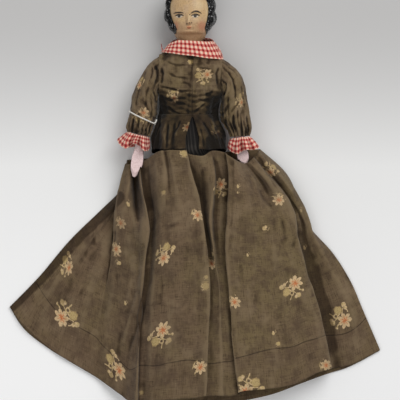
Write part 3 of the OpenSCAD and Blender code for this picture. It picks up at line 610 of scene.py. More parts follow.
# Writes how far each point lies from the middle of one sprig, measured along the cloth
def markSprig(points, mark, nearest, px, py, angle, size, part="all", strength=1.0):
    centre = seen(px, py, sprigLaying["height"])
    away = np.hypot(points[..., 0] - centre.x, points[..., 1] - centre.y)
    close = away < max(away.min() + sprigLaying["spare"] * mm, sprigLaying["near"] * mm)
    if away.min() > sprigLaying["far"] * mm:
        return
    row, col = np.unravel_index(np.argmax(np.where(close, points[..., 2], -1)), away.shape)
    right, down = lengthAlong(points, 1), lengthAlong(points, 0)
    x = (right - right[:, col:col + 1]) / mm / size
    if points[row, min(col + 1, points.shape[1] - 1), 0] < points[row, col, 0]:
        x = -x
    y = (down[row:row + 1] - down) / mm / size
    turn = math.radians(angle)
    cx, cy, shown = sprigParts[part]
    reach = np.hypot(x, y)
    held = (reach < shown + sprigLaying["margin"]) & (reach * size < nearest)
    nearest[held] = reach[held] * size
    local = np.stack([x * math.cos(turn) + y * math.sin(turn) + cx,
                      y * math.cos(turn) - x * math.sin(turn) + cy,
                      strength * np.clip((shown - reach) / sprigLaying["edge"], 0, 1)], -1)
    mark[held] = local[held]


# Gives a sheet its thickness inwards and keeps the result as its mesh
def thicken(piece, thickness):
    solidify = piece.modifiers.new("thickness", "SOLIDIFY")
    solidify.thickness, solidify.offset, solidify.use_rim = thickness * mm, -1.0, True
    bpy.context.view_layer.update()
    graph = bpy.context.evaluated_depsgraph_get()
    shaped = piece.evaluated_get(graph)
    mesh = bpy.data.meshes.new_from_object(shaped, preserve_all_data_layers=True, depsgraph=graph)
    piece.modifiers.clear()
    piece.data = mesh


# Spreads a sheet over lines of points, as far apart as the lines are
def betweenLines(lines, u, wrap=False):
    lines, first, last = np.array(lines), 0, -1
    if wrap:
        lines, first, last = np.concatenate([lines[-2:], lines, lines[:3]]), 2, -3
    gaps = np.linalg.norm(np.diff(lines, axis=0), axis=-1).mean(1)
    stations = np.concatenate([[0], np.cumsum(gaps)])
    stations = (stations - stations[first]) / (stations[last] - stations[first])
    return np.array([through(stations, lines[:, i], u[i]) for i in range(len(u))])


# Fold lines of the front layer from the doll's right to its left. Each runs from the waist to
# the hem through spots of the photograph, with the height of the cloth in millimetres
skirt = {"grid": (400, 140), "backGrid": (240, 130), "thickness": 0.7, "seam": 35, "stainHeight": 25,
         "lowest": 2.3}
folds = [
    [(127, 160, 4), (119, 192, 2.5), (104, 207, 2.5), (72, 238, 2.5), (37, 279, 2.5), (9.6, 307, 2.5)],
    [(127, 160, 7), (121, 194, 8), (108, 212, 7), (80, 247, 7), (47, 289, 6), (24, 326, 3.5)],
    [(127, 162, 8), (122, 195, 8), (113, 213, 6), (91, 247, 5), (68, 293, 5), (53, 351, 3.5)],
    [(127, 162, 9), (123, 197, 7), (118, 214, 4.5), (107, 247, 7), (90, 297, 8), (76, 365, 4)],
    [(127, 163, 10), (124, 198, 8), (119.5, 214, 4.5), (114, 247, 5), (102, 300, 7.5), (91, 374, 4.5)],
    [(125, 164, 12), (118, 190, 16), (114.2, 212, 16), (113, 232, 14), (110, 262, 10.5), (103, 310, 8),
     (100, 380, 5)],
    [(127, 164, 16), (122, 190, 21), (119, 212, 22), (118, 232, 20), (116, 262, 17), (110, 310, 13),
     (107, 385, 7)],
    [(130, 164, 19), (129, 186, 25), (127, 203, 26), (127, 232, 25), (126, 262, 22), (123, 310, 18),
     (118, 393, 11)],
    [(132, 164, 18), (131.5, 184, 20), (132, 203, 22), (133, 224, 28), (133, 262, 26), (131, 310, 22),
     (126, 399, 15)],
    [(134, 164, 16), (134, 184, 7), (136, 201, 9), (138, 222, 30), (138, 262, 29), (135, 310, 26),
     (130, 401, 20)],
    [(137, 163, 17), (138, 183, 12), (140, 200, 20), (143, 220, 36), (141, 262, 33), (138.5, 310, 31),
     (133, 401, 25)],
    [(139, 162, 24), (141, 184, 34), (146, 208, 39), (149.2, 226, 40), (145, 260, 38), (141, 305, 37),
     (136.5, 401, 30)],
    [(141, 162, 22), (143, 184, 25), (146, 208, 24), (148, 226, 25), (145.5, 260, 27), (142, 305, 30),
     (138.5, 401, 25)],
    [(145, 160, 28), (148, 184, 27), (150.5, 208, 24), (152, 226, 25), (150, 260, 28), (146, 305, 31),
     (142, 401, 26)],
    [(151, 156, 37), (154, 184, 36), (156, 208, 35), (157, 226, 37), (156, 260, 38), (153, 305, 38),
     (149, 401, 32)],
    [(157, 152, 43), (161, 184, 43), (162, 212, 42), (163, 240, 43), (163, 285, 42.5), (161, 340, 41),
     (158, 401, 37)],
    [(162, 150.5, 47), (165, 166, 45.5), (167, 184, 44.5), (168, 212, 44.5), (169, 285, 44.5),
     (169, 340, 44), (167, 400, 41)],
    [(164, 150.5, 46), (166.6, 166, 43.6), (168.6, 184, 43.6), (170, 212, 45), (172, 285, 45.2),
     (173, 340, 44.6), (171, 400, 42)],
    [(170, 150, 48), (174, 175, 47), (178, 212, 47), (181, 240, 47), (184, 285, 46.5), (185, 340, 45.5),
     (183, 399, 43)],
    [(180, 150, 48.5), (184, 175, 48.8), (191, 212, 48.5), (195, 240, 48.8), (198, 285, 48.8),
     (198, 340, 47), (196, 398, 45)],
    [(186, 150, 48.5), (192, 173, 49.6), (199.6, 198, 50), (203.2, 218, 50.5), (207, 247, 50.6),
     (209.9, 288, 50.2), (208.4, 335, 49), (205.6, 396, 47)],
    [(187, 151, 46.5), (190.5, 173, 41), (195.5, 198, 37), (199, 218, 36), (204, 247, 37.5), (207, 288, 40),
     (206, 335, 41), (204, 396, 40)],
    [(188.5, 154, 45), (193, 173, 39.8), (199.5, 198, 35.4), (203.5, 218, 35), (207, 247, 35.6),
     (211, 288, 38), (210.5, 335, 39.5), (208.5, 396, 39)],
    [(196, 155.5, 46.5), (201, 173, 43), (204.5, 198, 37.6), (206.5, 218, 36.5), (210, 247, 37),
     (214, 288, 39), (214, 335, 40), (213, 396, 39.5)],
    [(204, 155.5, 47.5), (208.5, 175, 46), (209, 198, 42), (208.5, 218, 40), (212, 247, 40.5),
     (217, 288, 40.5), (217.5, 335, 41), (218, 396, 40.5)],
    [(210, 151.5, 46.5), (214.5, 178, 46.5), (212.6, 198, 44.5), (210.4, 218, 43.5), (213.5, 247, 42),
     (219, 288, 41.5), (220.5, 335, 41.5), (222, 396, 41)],
    [(213, 150.8, 47), (215.5, 178, 40), (214.6, 198, 38), (213.4, 218, 37.5), (216, 247, 38.5),
     (221, 288, 40), (223, 335, 40.5), (225, 396, 40)],
    [(219, 151.2, 45.5), (223, 178, 36), (222, 198, 35.5), (221, 218, 35.5), (221, 247, 36), (225, 288, 38),
     (228, 335, 39), (231, 396, 39)],
    [(224.5, 152.6, 43.5), (231.5, 178, 33), (231, 198, 33), (230.5, 218, 33), (229, 247, 34),
     (232.5, 288, 36), (235, 335, 37), (240, 394, 38)],
    [(226.5, 154.2, 46), (228.7, 177, 46.6), (228.2, 197, 46.8), (227.2, 220, 46.8), (225.3, 247, 46.8),
     (228.6, 288, 46.4), (231.8, 335, 45.4), (239, 392, 42.5)],
    [(230, 156.2, 46.5), (233.5, 178, 48), (233.5, 198, 48.4), (233, 220, 48.4), (231.5, 247, 48.2),
     (235, 288, 47.6), (239, 335, 46.8), (245, 391, 44.5)],
    [(236, 160, 43), (245, 182, 46), (250, 210, 46.5), (252, 247, 46.5), (257, 290, 45), (262, 335, 43),
     (268, 389, 40)],
    [(240, 162, 38), (252, 184, 41), (259, 210, 43), (263, 247, 44.5), (270, 290, 43.5), (276, 335, 41),
     (283, 387, 37.5)],
    [(243, 163, 33), (257, 182, 35), (266, 206, 39), (273, 247, 42.5), (281, 290, 41), (289, 335, 38),
     (298, 383, 34)],
    [(246, 163, 29), (261, 181, 31), (273, 206, 37), (284, 247, 39), (294, 290, 37), (304, 335, 33.5),
     (315, 374, 29)],
    [(250, 161, 30), (267, 181, 36), (283, 208, 37), (293, 242, 36), (305, 290, 34), (315, 330, 30),
     (327, 370, 25)],
    [(253, 158, 28), (272, 180, 34.5), (290, 207, 34), (298.4, 240, 33.5), (308, 275, 31.5), (318.5, 310, 28),
     (331.5, 368.5, 22)],
    [(254.5, 157, 22), (275, 180, 22), (293, 207, 20), (299.5, 240, 17), (309, 275, 13), (319, 310, 10),
     (331, 368.5, 8)],
    [(256, 156, 22), (279, 180, 24), (296, 206, 21), (304, 238, 12), (314, 272, 8), (325, 308, 5.5),
     (337, 367.5, 4)],
    [(258, 153, 22), (283, 180, 25), (300, 206, 19), (309, 238, 12), (321, 270, 7), (335, 305, 6),
     (347, 366, 4)],
    [(259, 151, 17), (285, 177, 18), (303, 204, 13), (316, 240, 12), (331, 268, 9), (347, 302, 7),
     (361, 360, 3.5)],
    [(260, 149, 8), (284, 170.5, 6), (300, 203, 4), (310, 227, 3), (332, 252, 2.5), (350, 280, 2.5),
     (363, 310, 2.5), (380.2, 350.2, 2.5)],
]


def foldLine(points, v):
    line = seenLine(points)
    down = (line[:, 1] - line[0, 1]) / (line[-1, 1] - line[0, 1])
    return through(down, line, v)


# Creases of the skirt's front, through spots of the photograph
skirtCreases = [
    ([(95, 222), (92.5, 236), (96, 249)], 1.2, 2.4), ([(90, 234), (86, 250), (80, 268)], 0.8, 2.2),
    ([(90.2, 278), (83, 288), (73.2, 306)], 0.6, 1.6), ([(84, 288), (80, 302), (76, 322)], 0.4, 1.8),
    ([(114.6, 229), (114, 238), (113.6, 245)], 2.2, 1.1), ([(115, 266), (116, 276), (118, 290)], 0.9, 1.6),
    ([(132, 268), (133, 284), (131, 300)], 0.7, 1.6), ([(122, 330), (119, 345), (117, 358)], 0.8, 2.6),
    ([(163, 230.6), (172, 225.5), (184, 221)], 0.8, 1.3),
    ([(166.6, 196), (167, 201), (167.4, 206)], 0.8, 0.9),
    ([(147.7, 304), (160, 303.5), (176.5, 305.6)], 0.35, 0.9),
    ([(176, 255), (178, 290), (176, 325)], 0.35, 2.4), ([(256.5, 153), (267, 173), (279, 191)], 1.3, 1.5),
    ([(257.5, 186), (264, 198), (273.5, 210)], 1.5, 1.5), ([(246, 168), (251, 180), (256, 196)], 0.8, 1.8),
    ([(281, 216), (283.6, 229), (286.5, 244)], 0.8, 2.0),
    ([(289.5, 199.5), (298.5, 214), (306, 229)], 1.5, 1.2),
    ([(296, 206), (301.5, 221), (306, 236)], 1.2, 1.2), ([(301, 228), (296, 238), (291, 250)], 0.9, 2.4),
    ([(257.5, 238), (258, 246), (257, 256)], 0.5, 1.2),
    ([(304.4, 252), (310, 280), (316.6, 306), (327, 339)], 1.4, 2.0),
    ([(228.5, 300), (231.5, 330), (236.5, 362)], 1.3, 1.6),
    ([(240, 255), (243, 285), (246.5, 318)], 0.5, 2.2), ([(262, 270), (266, 300), (271, 326)], 0.5, 2.6),
    ([(286, 262), (291, 300), (296, 332)], 0.4, 2.4), ([(345, 268), (352, 290), (358, 312)], 0.7, 2.6),
    ([(240, 355), (246, 372), (256, 378)], 0.4, 3.0), ([(285, 352), (292, 366), (296, 380)], 0.6, 2.2),
    ([(60, 268), (52, 280), (44, 293)], 0.4, 1.8), ([(36, 303), (45, 313), (58, 332)], 0.3, 2.0),
    ([(196, 250), (199, 290), (198, 330)], 0.4, 1.6), ([(158, 345), (156, 370), (154, 392)], 0.5, 2.2),
    ([(146, 258), (140, 292), (131, 317), (121, 350)], -2.0, 2.4),
    ([(149, 270), (144, 304), (136, 327), (127, 356)], 2.0, 1.8)]

# Painted shade and painted highlight streaks of the front, dark and pale, first the shaded turned band along
# its upper edge on the doll's right: spots of the photograph, half width in millimetres and strength
skirtShadeStreaks = [([(119, 197), (84, 231), (53, 264), (34, 284), (10, 306)], 6.2, 0.62),
               ([(91, 226), (94, 240), (90, 256)], 6, 0.16), ([(311, 262), (320, 300), (331, 345)], 8, 0.3),
               ([(231, 160), (231, 190), (229, 225)], 3.2, 0.35),
               ([(204, 170), (207, 215), (209, 262)], 3.0, 0.35),
               ([(298, 226), (302, 245), (306, 262)], 5, 0.15),
               ([(152, 214), (153, 240), (150, 300)], 3.5, -0.2),
               ([(128, 214), (131, 236), (133, 256)], 8, -0.2),
               ([(235, 330), (240, 362), (243, 392)], 4, 0.14),
               ([(262, 160), (278, 180), (296, 204)], 4.5, 0.2),
               ([(108, 380), (113, 350), (118, 320)], 5, 0.1),
               ([(135, 262), (137, 272), (136, 284)], 6, -0.34),
               ([(157, 268), (160, 284), (159, 300)], 4, 0.3), ([(94, 334), (95, 346)], 5, -0.3),
               ([(213, 152), (222, 155), (232, 163)], 2.4, 0.2),
               ([(212, 166), (216, 182), (222, 196)], 7, 0.3),
               ([(262, 226), (284, 222), (288, 240)], 8, 0.2),
               ([(345, 262), (352, 282), (356, 300)], 7, 0.12)]


# Blotches of dirt over the front, with the painted shade and painted highlight streaks
def skirtStainAndShade(points):
    stainAndShade = 0.16 * crumple(points, 0.03, 71) + 0.14 * crumple(points, 0.011, 75) - 0.03
    for line, half, strength in skirtShadeStreaks:
        near, _ = nearLine(points[..., :2], line, skirt["stainHeight"])
        stainAndShade = stainAndShade + strength * ease((half * 1.25 * mm - near) / (half * 0.5 * mm))
    return stainAndShade


def skirtFront(u, v):
    points = betweenLines([foldLine(line, v[:, 0]) for line in folds], u)
    normal = surfaceNormals(points, False)
    inward = ease(np.minimum(u, 1 - u) / 0.03)[..., None] * ease(v / 0.04)[..., None]
    grain = np.stack([u * 0.5, v * 0.25, u * 0], -1)
    long = crumple(grain, 0.022, 3, (1, 4.5, 1)) * 1.3 + crumple(grain, 0.010, 9, (1, 3.5, 1)) * 0.5
    short = crumple(points, 0.016, 21) * 0.55 + crumple(points, 0.0065, 33) * 0.25
    points = points + normal * inward * ((long + short) * mm)[..., None]
    points = creased(points, False, [(line, depth * 0.7, half * 1.35) for line, depth, half in skirtCreases],
                     0)
    points[..., 2] = np.maximum(points[..., 2], skirt["lowest"] * mm)
    return points


# Millimetres from the hem's seam, negative toward the hem
def hemSeam(u, v, points):
    down = lengthAlong(points, 0)
    left = (down[-1:] - down) / mm
    wander = 2.5 * np.sin(u * 19) + 1.5 * np.sin(u * 43 + 1)
    return np.clip(left - skirt["seam"] - wander, stitching["least"], stitching["most"]) + stitching["offset"]


# Spots, turns in degrees and sizes of the printed sprigs on the skirt's front
skirtSprigs = [
    (64.5, 318.2, 0, 1.15), (113.7, 367, 120, 1.1), (163.7, 252.5, 39, 0.92), (159.5, 335.9, -159, 1.1),
    (115, 250, 80, 0.85, "bloom"), (117.3, 263, 180, 0.8, "buds"), (65.6, 265, 150, 0.82),
    (124.3, 303, 75, 0.6, "buds"), (129, 204, 100, 0.75, "buds"), (119.6, 223.8, 90, 0.75, "bloom", 0.55),
    (197.4, 214.6, 90, 0.78, "bloom"), (200, 366.8, 100, 0.92, "bloom"), (140.5, 392.4, 0, 0.5, "disc", 0.6),
    (183, 154, 0, 0.8, "disc"), (163, 193, 0, 0.5, "disc", 0.8), (219.5, 188, -165, 0.85),
    (238, 185, 60, 0.5, "buds"), (238.4, 193, 60, 0.35, "buds"), (279.5, 199.5, 0, 0.8, "bloom"),
    (273, 168.5, -30, 0.78, "all", 0.8), (302, 210, 80, 0.55, "buds", 0.7), (306, 248, 60, 0.7, "buds"),
    (248, 254.4, 70, 0.45, "buds"), (210.7, 263.5, 0, 0.75, "bloom"), (211.6, 254.4, 90, 0.7, "buds"),
    (265.5, 227, 10, 0.85, "buds"), (204.6, 286, 0, 0.9, "disc"), (205.5, 277, 0, 0.45, "disc"),
    (234, 302.5, 100, 0.8, "bloom"), (291.6, 286.8, 171, 1.0), (342.1, 318.3, 76, 1.02),
    (274.3, 332, 60, 0.6, "buds"), (278.7, 343.1, 0, 0.5, "disc"), (326.8, 365.5, 120, 0.8, "bloom", 0.8),
    (249.3, 386.6, 3, 1.15)]

# Where the front layers' parts about each leg begin, which way they run and how far they reach: from the
# side, from the waist and from the middle, for the doll's left, as seen from above in metres
tent = {"Outer": ((0.070, 0.000), (-0.931, -0.364), 0.065), "Top": ((0.0, 0.036), (0.0, -1.0), 0.040),
        "Inner": ((0.0, 0.0), (1.0, 0.0), 0.004)}


# Cuts a front layer into parts on each side along the tent's lines and closes each cut,
# a layer underneath starting a little further from the middle
def hangOverLegs(piece, inset=0.0):
    keepNormals(piece)
    parts = []
    for side, thigh in ((-1, "thigh_right"), (1, "thigh_left")):
        rules = {}
        for part, ((x, y), (dx, dy), reach) in tent.items():
            away = inset if part == "Inner" else 0
            foot, way = Vector((side * (x + away), y, 0)), Vector((side * dx, dy, 0)).normalized()
            rules[part] = (foot, way, reach - away)
        for part, (foot, way, reach) in rules.items():
            bm = bmesh.new()
            bm.from_mesh(piece.data)
            trim(bm, Vector((0, 0, 0)), Vector((-side, 0, 0)))
            for other, (foot2, way2, reach2) in rules.items():
                if other != part:
                    slope = way / reach - way2 / reach2
                    level = foot.dot(way) / reach - foot2.dot(way2) / reach2
                    trim(bm, slope * (level / slope.length_squared), slope)
            name = f"{piece.name}{'Right' if side < 0 else 'Left'}{part}"
            made = finishMesh(name, bm, piece.data.materials[0])
            useKeptNormals(made)
            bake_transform(made)
            parts.append(made)
    bpy.data.objects.remove(piece)
    return parts


# Cuts a closed cloth by a plane and closes the cut
def trim(bm, place, outward):
    bmesh.ops.bisect_plane(bm, geom=bm.verts[:] + bm.edges[:] + bm.faces[:], dist=1e-7, plane_co=place,
                           plane_no=outward, clear_outer=True)
    bmesh.ops.holes_fill(bm, edges=[edge for edge in bm.edges if edge.is_boundary], sides=0)


def keepNormals(piece):
    mesh = piece.data
    kept = mesh.attributes.new("kept", "FLOAT_VECTOR", "POINT")
    values = np.zeros(len(mesh.vertices) * 3, np.float32)
    mesh.vertices.foreach_get("normal", values)
    kept.data.foreach_set("vector", values)


def useKeptNormals(piece):
    mesh = piece.data
    values = np.zeros(len(mesh.vertices) * 3, np.float32)
    mesh.attributes["kept"].data.foreach_get("vector", values)
    mesh.normals_split_custom_set_from_vertices(values.reshape(-1, 3).tolist())
    mesh.attributes.remove(mesh.attributes["kept"])


# Half widths of the carved torso at even heights from its lower end to the neck, its depth before
# and behind its middle, and how far it leans to the doll's right at some heights, in millimetres
torso = {"foot": 37, "length": 109, "middle": 26, "side": 31,
         "wide": [26.5, 26.5, 25.2, 23, 20.7, 20.2, 23.8, 28.6, 31.5, 34, 30.3, 21.1, 11.4],
         "front": [16.1, 16.6, 15.8, 14.4, 13, 13.3, 15, 17, 17.5, 17, 15.4, 13.3, 11],
         "back": [15, 16.1, 15, 13.7, 12.6, 13, 14.4, 15.8, 16.1, 15.8, 14.7, 13, 11],
         "lean": ([37, 60, 83, 100, 125, 150], [-1.5, -3, -4, -2.5, -0.5, 0])}


def torsoSkin(y, turn, grow):
    places = np.arange(len(torso["wide"]))
    share = (y - torso["foot"]) / torso["length"] * places[-1]
    wide, front, back = (through(places, torso[name], share) for name in ("wide", "front", "back"))
    depth = np.where(np.sin(turn) > 0, front, back)
    x = (wide + grow) * np.cos(turn) + np.interp(y, *torso["lean"])
    z = torso["middle"] + (depth + grow) * np.sin(turn)
    return np.stack([x, y, z], -1)


def carvedTorso(u, v):
    points = torsoSkin(torso["foot"] + v * torso["length"], 2 * math.pi * u, 0 * u)
    points[..., 0] = np.clip(points[..., 0], -torso["side"], torso["side"])
    return points * mm


# Half width, front and back of the neck and head at heights in millimetres
headRings = [(138, 11, 11, 11), (148, 11, 11, 11), (151.5, 12, 11.6, 11), (154.5, 14.2, 12.8, 11.4),
             (157.2, 15.4, 14.6, 12), (159, 16.2, 17.2, 13.4), (161, 17.2, 18.8, 15.4),
             (165.9, 19.4, 20.4, 19), (174.2, 21.2, 21.2, 21.3), (181.5, 21.7, 21.6, 21.8),
             (189.4, 21, 21.2, 21.1), (197.2, 18.4, 19, 18.5), (203.1, 13.4, 14, 13.5), (206.5, 7, 7.4, 7),
             (207.4, 1.5, 1.6, 1.5)]
face = {"middle": -1.6, "reliefFrom": 34, "reliefOver": 8, "noseTop": 176.6, "noseLength": 9.4,
        "noseLevel": 46.9}


# Carved relief of the face in millimetres toward the front, from places across and up it
def faceRelief(x, y):
    def hill(cx, cy, rx, ry):
        return np.exp(-((x - cx) / rx) ** 2 - ((y - cy) / ry) ** 2)
    m = face["middle"]
    return (-0.9 * hill(-10.5, 175.6, 5.0, 2.8) - 0.9 * hill(5.0, 175.4, 5.0, 2.8) + 0.5 * hill(-11, 179.4,
                                                                                                6, 1.6)
            + 0.5 * hill(6, 179.6, 6, 1.6) + 0.45 * hill(-10.5, 175.6, 3.0, 1.4) + 0.45 * hill(5.0, 175.4,
                                                                                               3.0, 1.4)
            + 0.6 * hill(-11.5, 168.5, 4.5, 4) + 0.6 * hill(8.5, 168.5, 5, 4) - 0.5 * hill(m, 165.8, 4, 1.1)
            + 0.7 * hill(m, 164.6, 3.2, 0.8) + 0.6 * hill(m, 163.0, 2.6, 0.75) - 0.5 * hill(m, 161.6, 4, 0.9)
            + 0.9 * hill(m, 159.6, 4.5, 1.6) + 0.5 * hill(m, 172, 2.2, 5))


def carvedHead(u, v):
    rows = np.array(headRings, float)
    place = through(np.linspace(0, 1, len(rows)), rows, v)
    turn = 2 * math.pi * u - math.pi / 2
    depth = np.where(np.sin(turn) > 0, place[..., 2], place[..., 3])
    x, y, z = place[..., 1] * np.cos(turn), place[..., 0], torso["middle"] + depth * np.sin(turn)
    z = z + faceRelief(x, y) * ease((z - face["reliefFrom"]) / face["reliefOver"])
    return np.stack([x, y, z], -1) * mm


def carvedNose(u, v):
    turn = 2 * math.pi * u - math.pi / 2
    y = face["noseTop"] - face["noseLength"] * v
    wide = through([0, 0.35, 0.7, 0.88, 1], [0.8, 1.2, 2.0, 2.7, 1.9], v)
    tall = through([0, 0.35, 0.7, 0.88, 1], [0.5, 1.4, 2.6, 3.0, 1.6], v)
    z = face["noseLevel"] + tall * np.sin(turn)
    return np.stack([face["middle"] + wide * np.cos(turn), y, z], -1) * mm


# Carved curls: middle, reach, depth and number of rolls, the share of the sheet that is their outside, their
# gap to the head, least wall, and where they start at each turn, in degrees away from the front
hair = {"middle": 183, "reach": 26.2, "depth": 1.8, "rolls": 10, "outside": 0.62, "gap": 0.5, "wall": 0.4,
        "line": ([0, 45, 90, 135, 165, 180, 195, 212, 228, 238, 247, 262, 278, 296, 306, 315, 335, 360],
                 [53, 50, 50, 60, 66, 66, 63, 61, 58, 62, 118, 124, 124, 118, 62, 57, 54, 53])}


def headReach(turn, tilt):
    rows = np.array([r for r in headRings if r[0] > 158], float)
    up = rows[:, 0] - hair["middle"]
    away = np.hypot(rows[:, 1], up)
    return np.interp(np.sin(turn) * np.sin(tilt), up / away, away)


def carvedHair(u, v):
    turn = 2 * math.pi * u
    start = np.radians(np.interp(np.degrees(turn) % 360.0001, *hair["line"]))
    outside = v < hair["outside"]
    far = np.where(outside, 1 - v / hair["outside"], (v - hair["outside"]) / (1 - hair["outside"]))
    tilt = start + (math.pi - start) * far
    lean = np.sin(tilt)
    roll = np.cos(hair["rolls"] * turn + 2.6 * np.sin(3 * tilt))
    strand = np.cos(hair["rolls"] * 7 * turn + 18 * np.sin(3 * tilt))
    curl = np.cos(9 * tilt + 2.2 * np.cos(hair["rolls"] / 2 * turn) + 1.5 * np.sin(5 * turn))
    groove = hair["depth"] * (1 - np.sqrt(np.clip((1 + roll) / 2, 0,
                                                  1))) + 0.14 * (1 - strand) + 0.42 * (1 - curl)
    fuller = 3.4 * np.exp(-((-np.sin(turn) - 0.65) * 2.4) ** 2) * lean + 1.7 * np.maximum(0,
                                                                                          np.sin(turn)) * lean
    outer = hair["reach"] + lean * (fuller - groove)
    inner = headReach(turn, tilt) + hair["gap"]
    thin = inner + hair["wall"]
    reach = np.where(outside, thin + (outer - thin) * ease(far / 0.10), inner)
    way = np.stack([np.cos(turn) * np.sin(tilt), np.sin(turn) * np.sin(tilt), np.cos(tilt)], -1)
    return (np.array([0, hair["middle"], torso["middle"]]) + way * reach[..., None]) * mm


# A sheet over lines that each run from its upper to its lower edge through spots of the photograph
def across(lines, u, v, wrap=False):
    made = [through(np.linspace(0, 1, len(line)), seenLine(line), v[:, 0]) for line in lines]
    return betweenLines(made, u, wrap)


def crinkled(points, wrap, *noises):
    normal = surfaceNormals(points, wrap)
    lift = 0
    for size, height, seed in noises:
        lift = lift + crumple(points, size, seed) * height
    return points + normal * (lift * mm)[..., None]


collarFacts = {"grid": (320, 48), "thickness": 0.6, "seamShare": 0.88, "length": 16.5}
collarLines = [
    [(165.8, 48, 24), (163.4, 49.6, 24), (160.8, 51.5, 23)],
    [(168.5, 44.5, 31), (166, 47.8, 32), (163.5, 52.3, 33)], [(173, 42, 36), (171.5, 47, 39), (170, 53, 41)],
    [(178.5, 40.2, 38.5), (178, 47, 42), (177.5, 54, 44)],
    [(184.5, 40.3, 40), (185, 47.5, 43.5), (185, 54.9, 46)],
    [(190.5, 40.6, 40.5), (191.5, 48.3, 44), (192.5, 55.7, 46.5)],
    [(197, 41, 40), (199, 49, 43.5), (200.5, 57, 46)], [(203.5, 41.4, 38), (207, 50, 42), (209, 58.2, 44)],
    [(209, 41.4, 34), (213, 50, 37.6), (216.5, 58.8, 39)],
    [(212.5, 41.2, 29), (217, 49.5, 31.4), (222.5, 59.2, 32.6)],
    [(214, 41.6, 24), (218.5, 49, 23), (223.3, 57.5, 22)], [(211.5, 39, 19.5), (216, 44, 17), (220, 50, 14)],
    [(203, 37.5, 16), (205.5, 42, 12.5), (208, 48, 9.5)],
    [(190.5, 37, 13.5), (190.5, 42, 11), (190.5, 48, 8.5)],
    [(178, 38.8, 16), (176.5, 43, 12.5), (175, 48.5, 9.5)],
    [(172, 41.5, 19.5), (169.5, 45, 16.5), (167.5, 49.5, 13.5)],
    [(169, 46.2, 22), (164, 50.9, 20.6), (162.7, 49.4, 20)],
    [(168.8, 46.5, 22), (162.4, 50.6, 20.5), (160.9, 42.6, 20)]]


def collarPlace(u, v):
    return crinkled(across(collarLines, u, v), False, (7 * mm, 0.45, 4), (3 * mm, 0.12, 8))


cuffFacts = {"grid": (240, 40), "thickness": 0.5}
cuffLines = {
    -1: [[(127.5, 131.5, 26), (121, 136, 25), (117, 139.5, 24)],
         [(129, 132, 31), (123.5, 139, 32), (119.5, 144.5, 32)],
         [(131.5, 133, 34.5), (127, 141, 38), (126, 148.5, 39)],
         [(134.5, 134, 36.5), (131, 141, 35), (130.5, 146, 34)],
         [(137.5, 134.8, 37.5), (135, 140, 40), (134, 143.5, 41)],
         [(140.5, 135.5, 37), (139, 141, 36), (138.5, 145.5, 35)],
         [(143.5, 136, 36), (143, 143, 39.5), (143, 150, 40)],
         [(146.5, 136.7, 33), (147, 144, 33), (148, 151, 32)],
         [(149.3, 137.5, 27), (150, 143, 27), (150, 148, 26)],
         [(146, 137, 19), (147, 144, 16), (147.5, 150, 13)],
         [(141, 136, 15.5), (141, 143, 12.5), (141, 149, 10)],
         [(136, 134.6, 14.5), (134.5, 142, 12.5), (134, 147, 12)],
         [(131, 133, 17), (128, 141, 14), (127, 147.5, 11)],
         [(128, 132, 21), (122.5, 138.5, 19), (119, 143, 17)]],
    1: [[(230, 138.5, 26), (228, 143, 26), (227.3, 148, 25)],
        [(232.5, 138.3, 32), (230.5, 144, 34), (230, 151, 35)],
        [(235.5, 138, 35), (234, 146, 36), (233.5, 153, 37)],
        [(238.5, 137.6, 37), (238, 146, 40), (238, 154, 41)],
        [(241.5, 137.2, 37), (241.5, 144, 36), (242, 151.5, 35)],
        [(244.5, 137, 36.5), (246, 144, 39), (247, 149.7, 40)],
        [(247, 136.8, 34), (250.5, 144, 35), (252.5, 149.9, 35)],
        [(249, 136.7, 31), (254, 142, 34), (257, 148.8, 35)],
        [(250.4, 136.8, 26), (255.5, 141.5, 27), (259.4, 146.7, 27)],
        [(248, 137, 19), (253, 143, 17), (256, 148.5, 15)],
        [(243, 137.3, 15.5), (245, 145, 13), (247, 150.5, 11)],
        [(237, 137.8, 15), (238, 146, 12), (239, 152, 10)],
        [(232.5, 138.3, 19), (231, 145, 16), (230.5, 151, 14)]]}


def cuffPlace(side):
    def place(u, v):
        return crinkled(across(cuffLines[side], u, v, wrap=True), True, (5 * mm, 0.5, 14 * side),
                        (2.4 * mm, 0.15, 3))
    return place


# Inner and outer edge of each sleeve from the armhole to the wrist in the photograph, and its depth
sleeveRings = {
    -1: [(159.5, 91, 159.3, 56.3, 22), (158, 94, 150.8, 63.4, 25), (157.8, 99.5, 142.5, 74, 27),
         (158, 105.5, 135.8, 86.5, 27), (157.5, 112, 131.5, 100, 26.5), (156, 118, 129.8, 111.5, 26),
         (154.2, 124, 128, 119, 25), (151.8, 131, 126.6, 126, 22), (149.8, 136.5, 127, 131.5, 19)],
    1: [(221.3, 91, 221.5, 58.2, 22), (221.7, 95, 230.6, 64.4, 25), (221.4, 100.5, 239.6, 73.4, 27),
        (220.5, 107, 244.2, 84.5, 27), (219.8, 113, 247.2, 97, 26.5), (220.8, 119, 249.7, 109, 26),
        (223.5, 125, 251, 120, 25), (227, 131, 251.3, 129, 22), (230, 137, 250.3, 135.8, 19)]}
sleeveFacts = {"grid": (240, 150), "thickness": 0.6, "gathers": 15, "wrist": 1.7, "shoulder": 0.5}

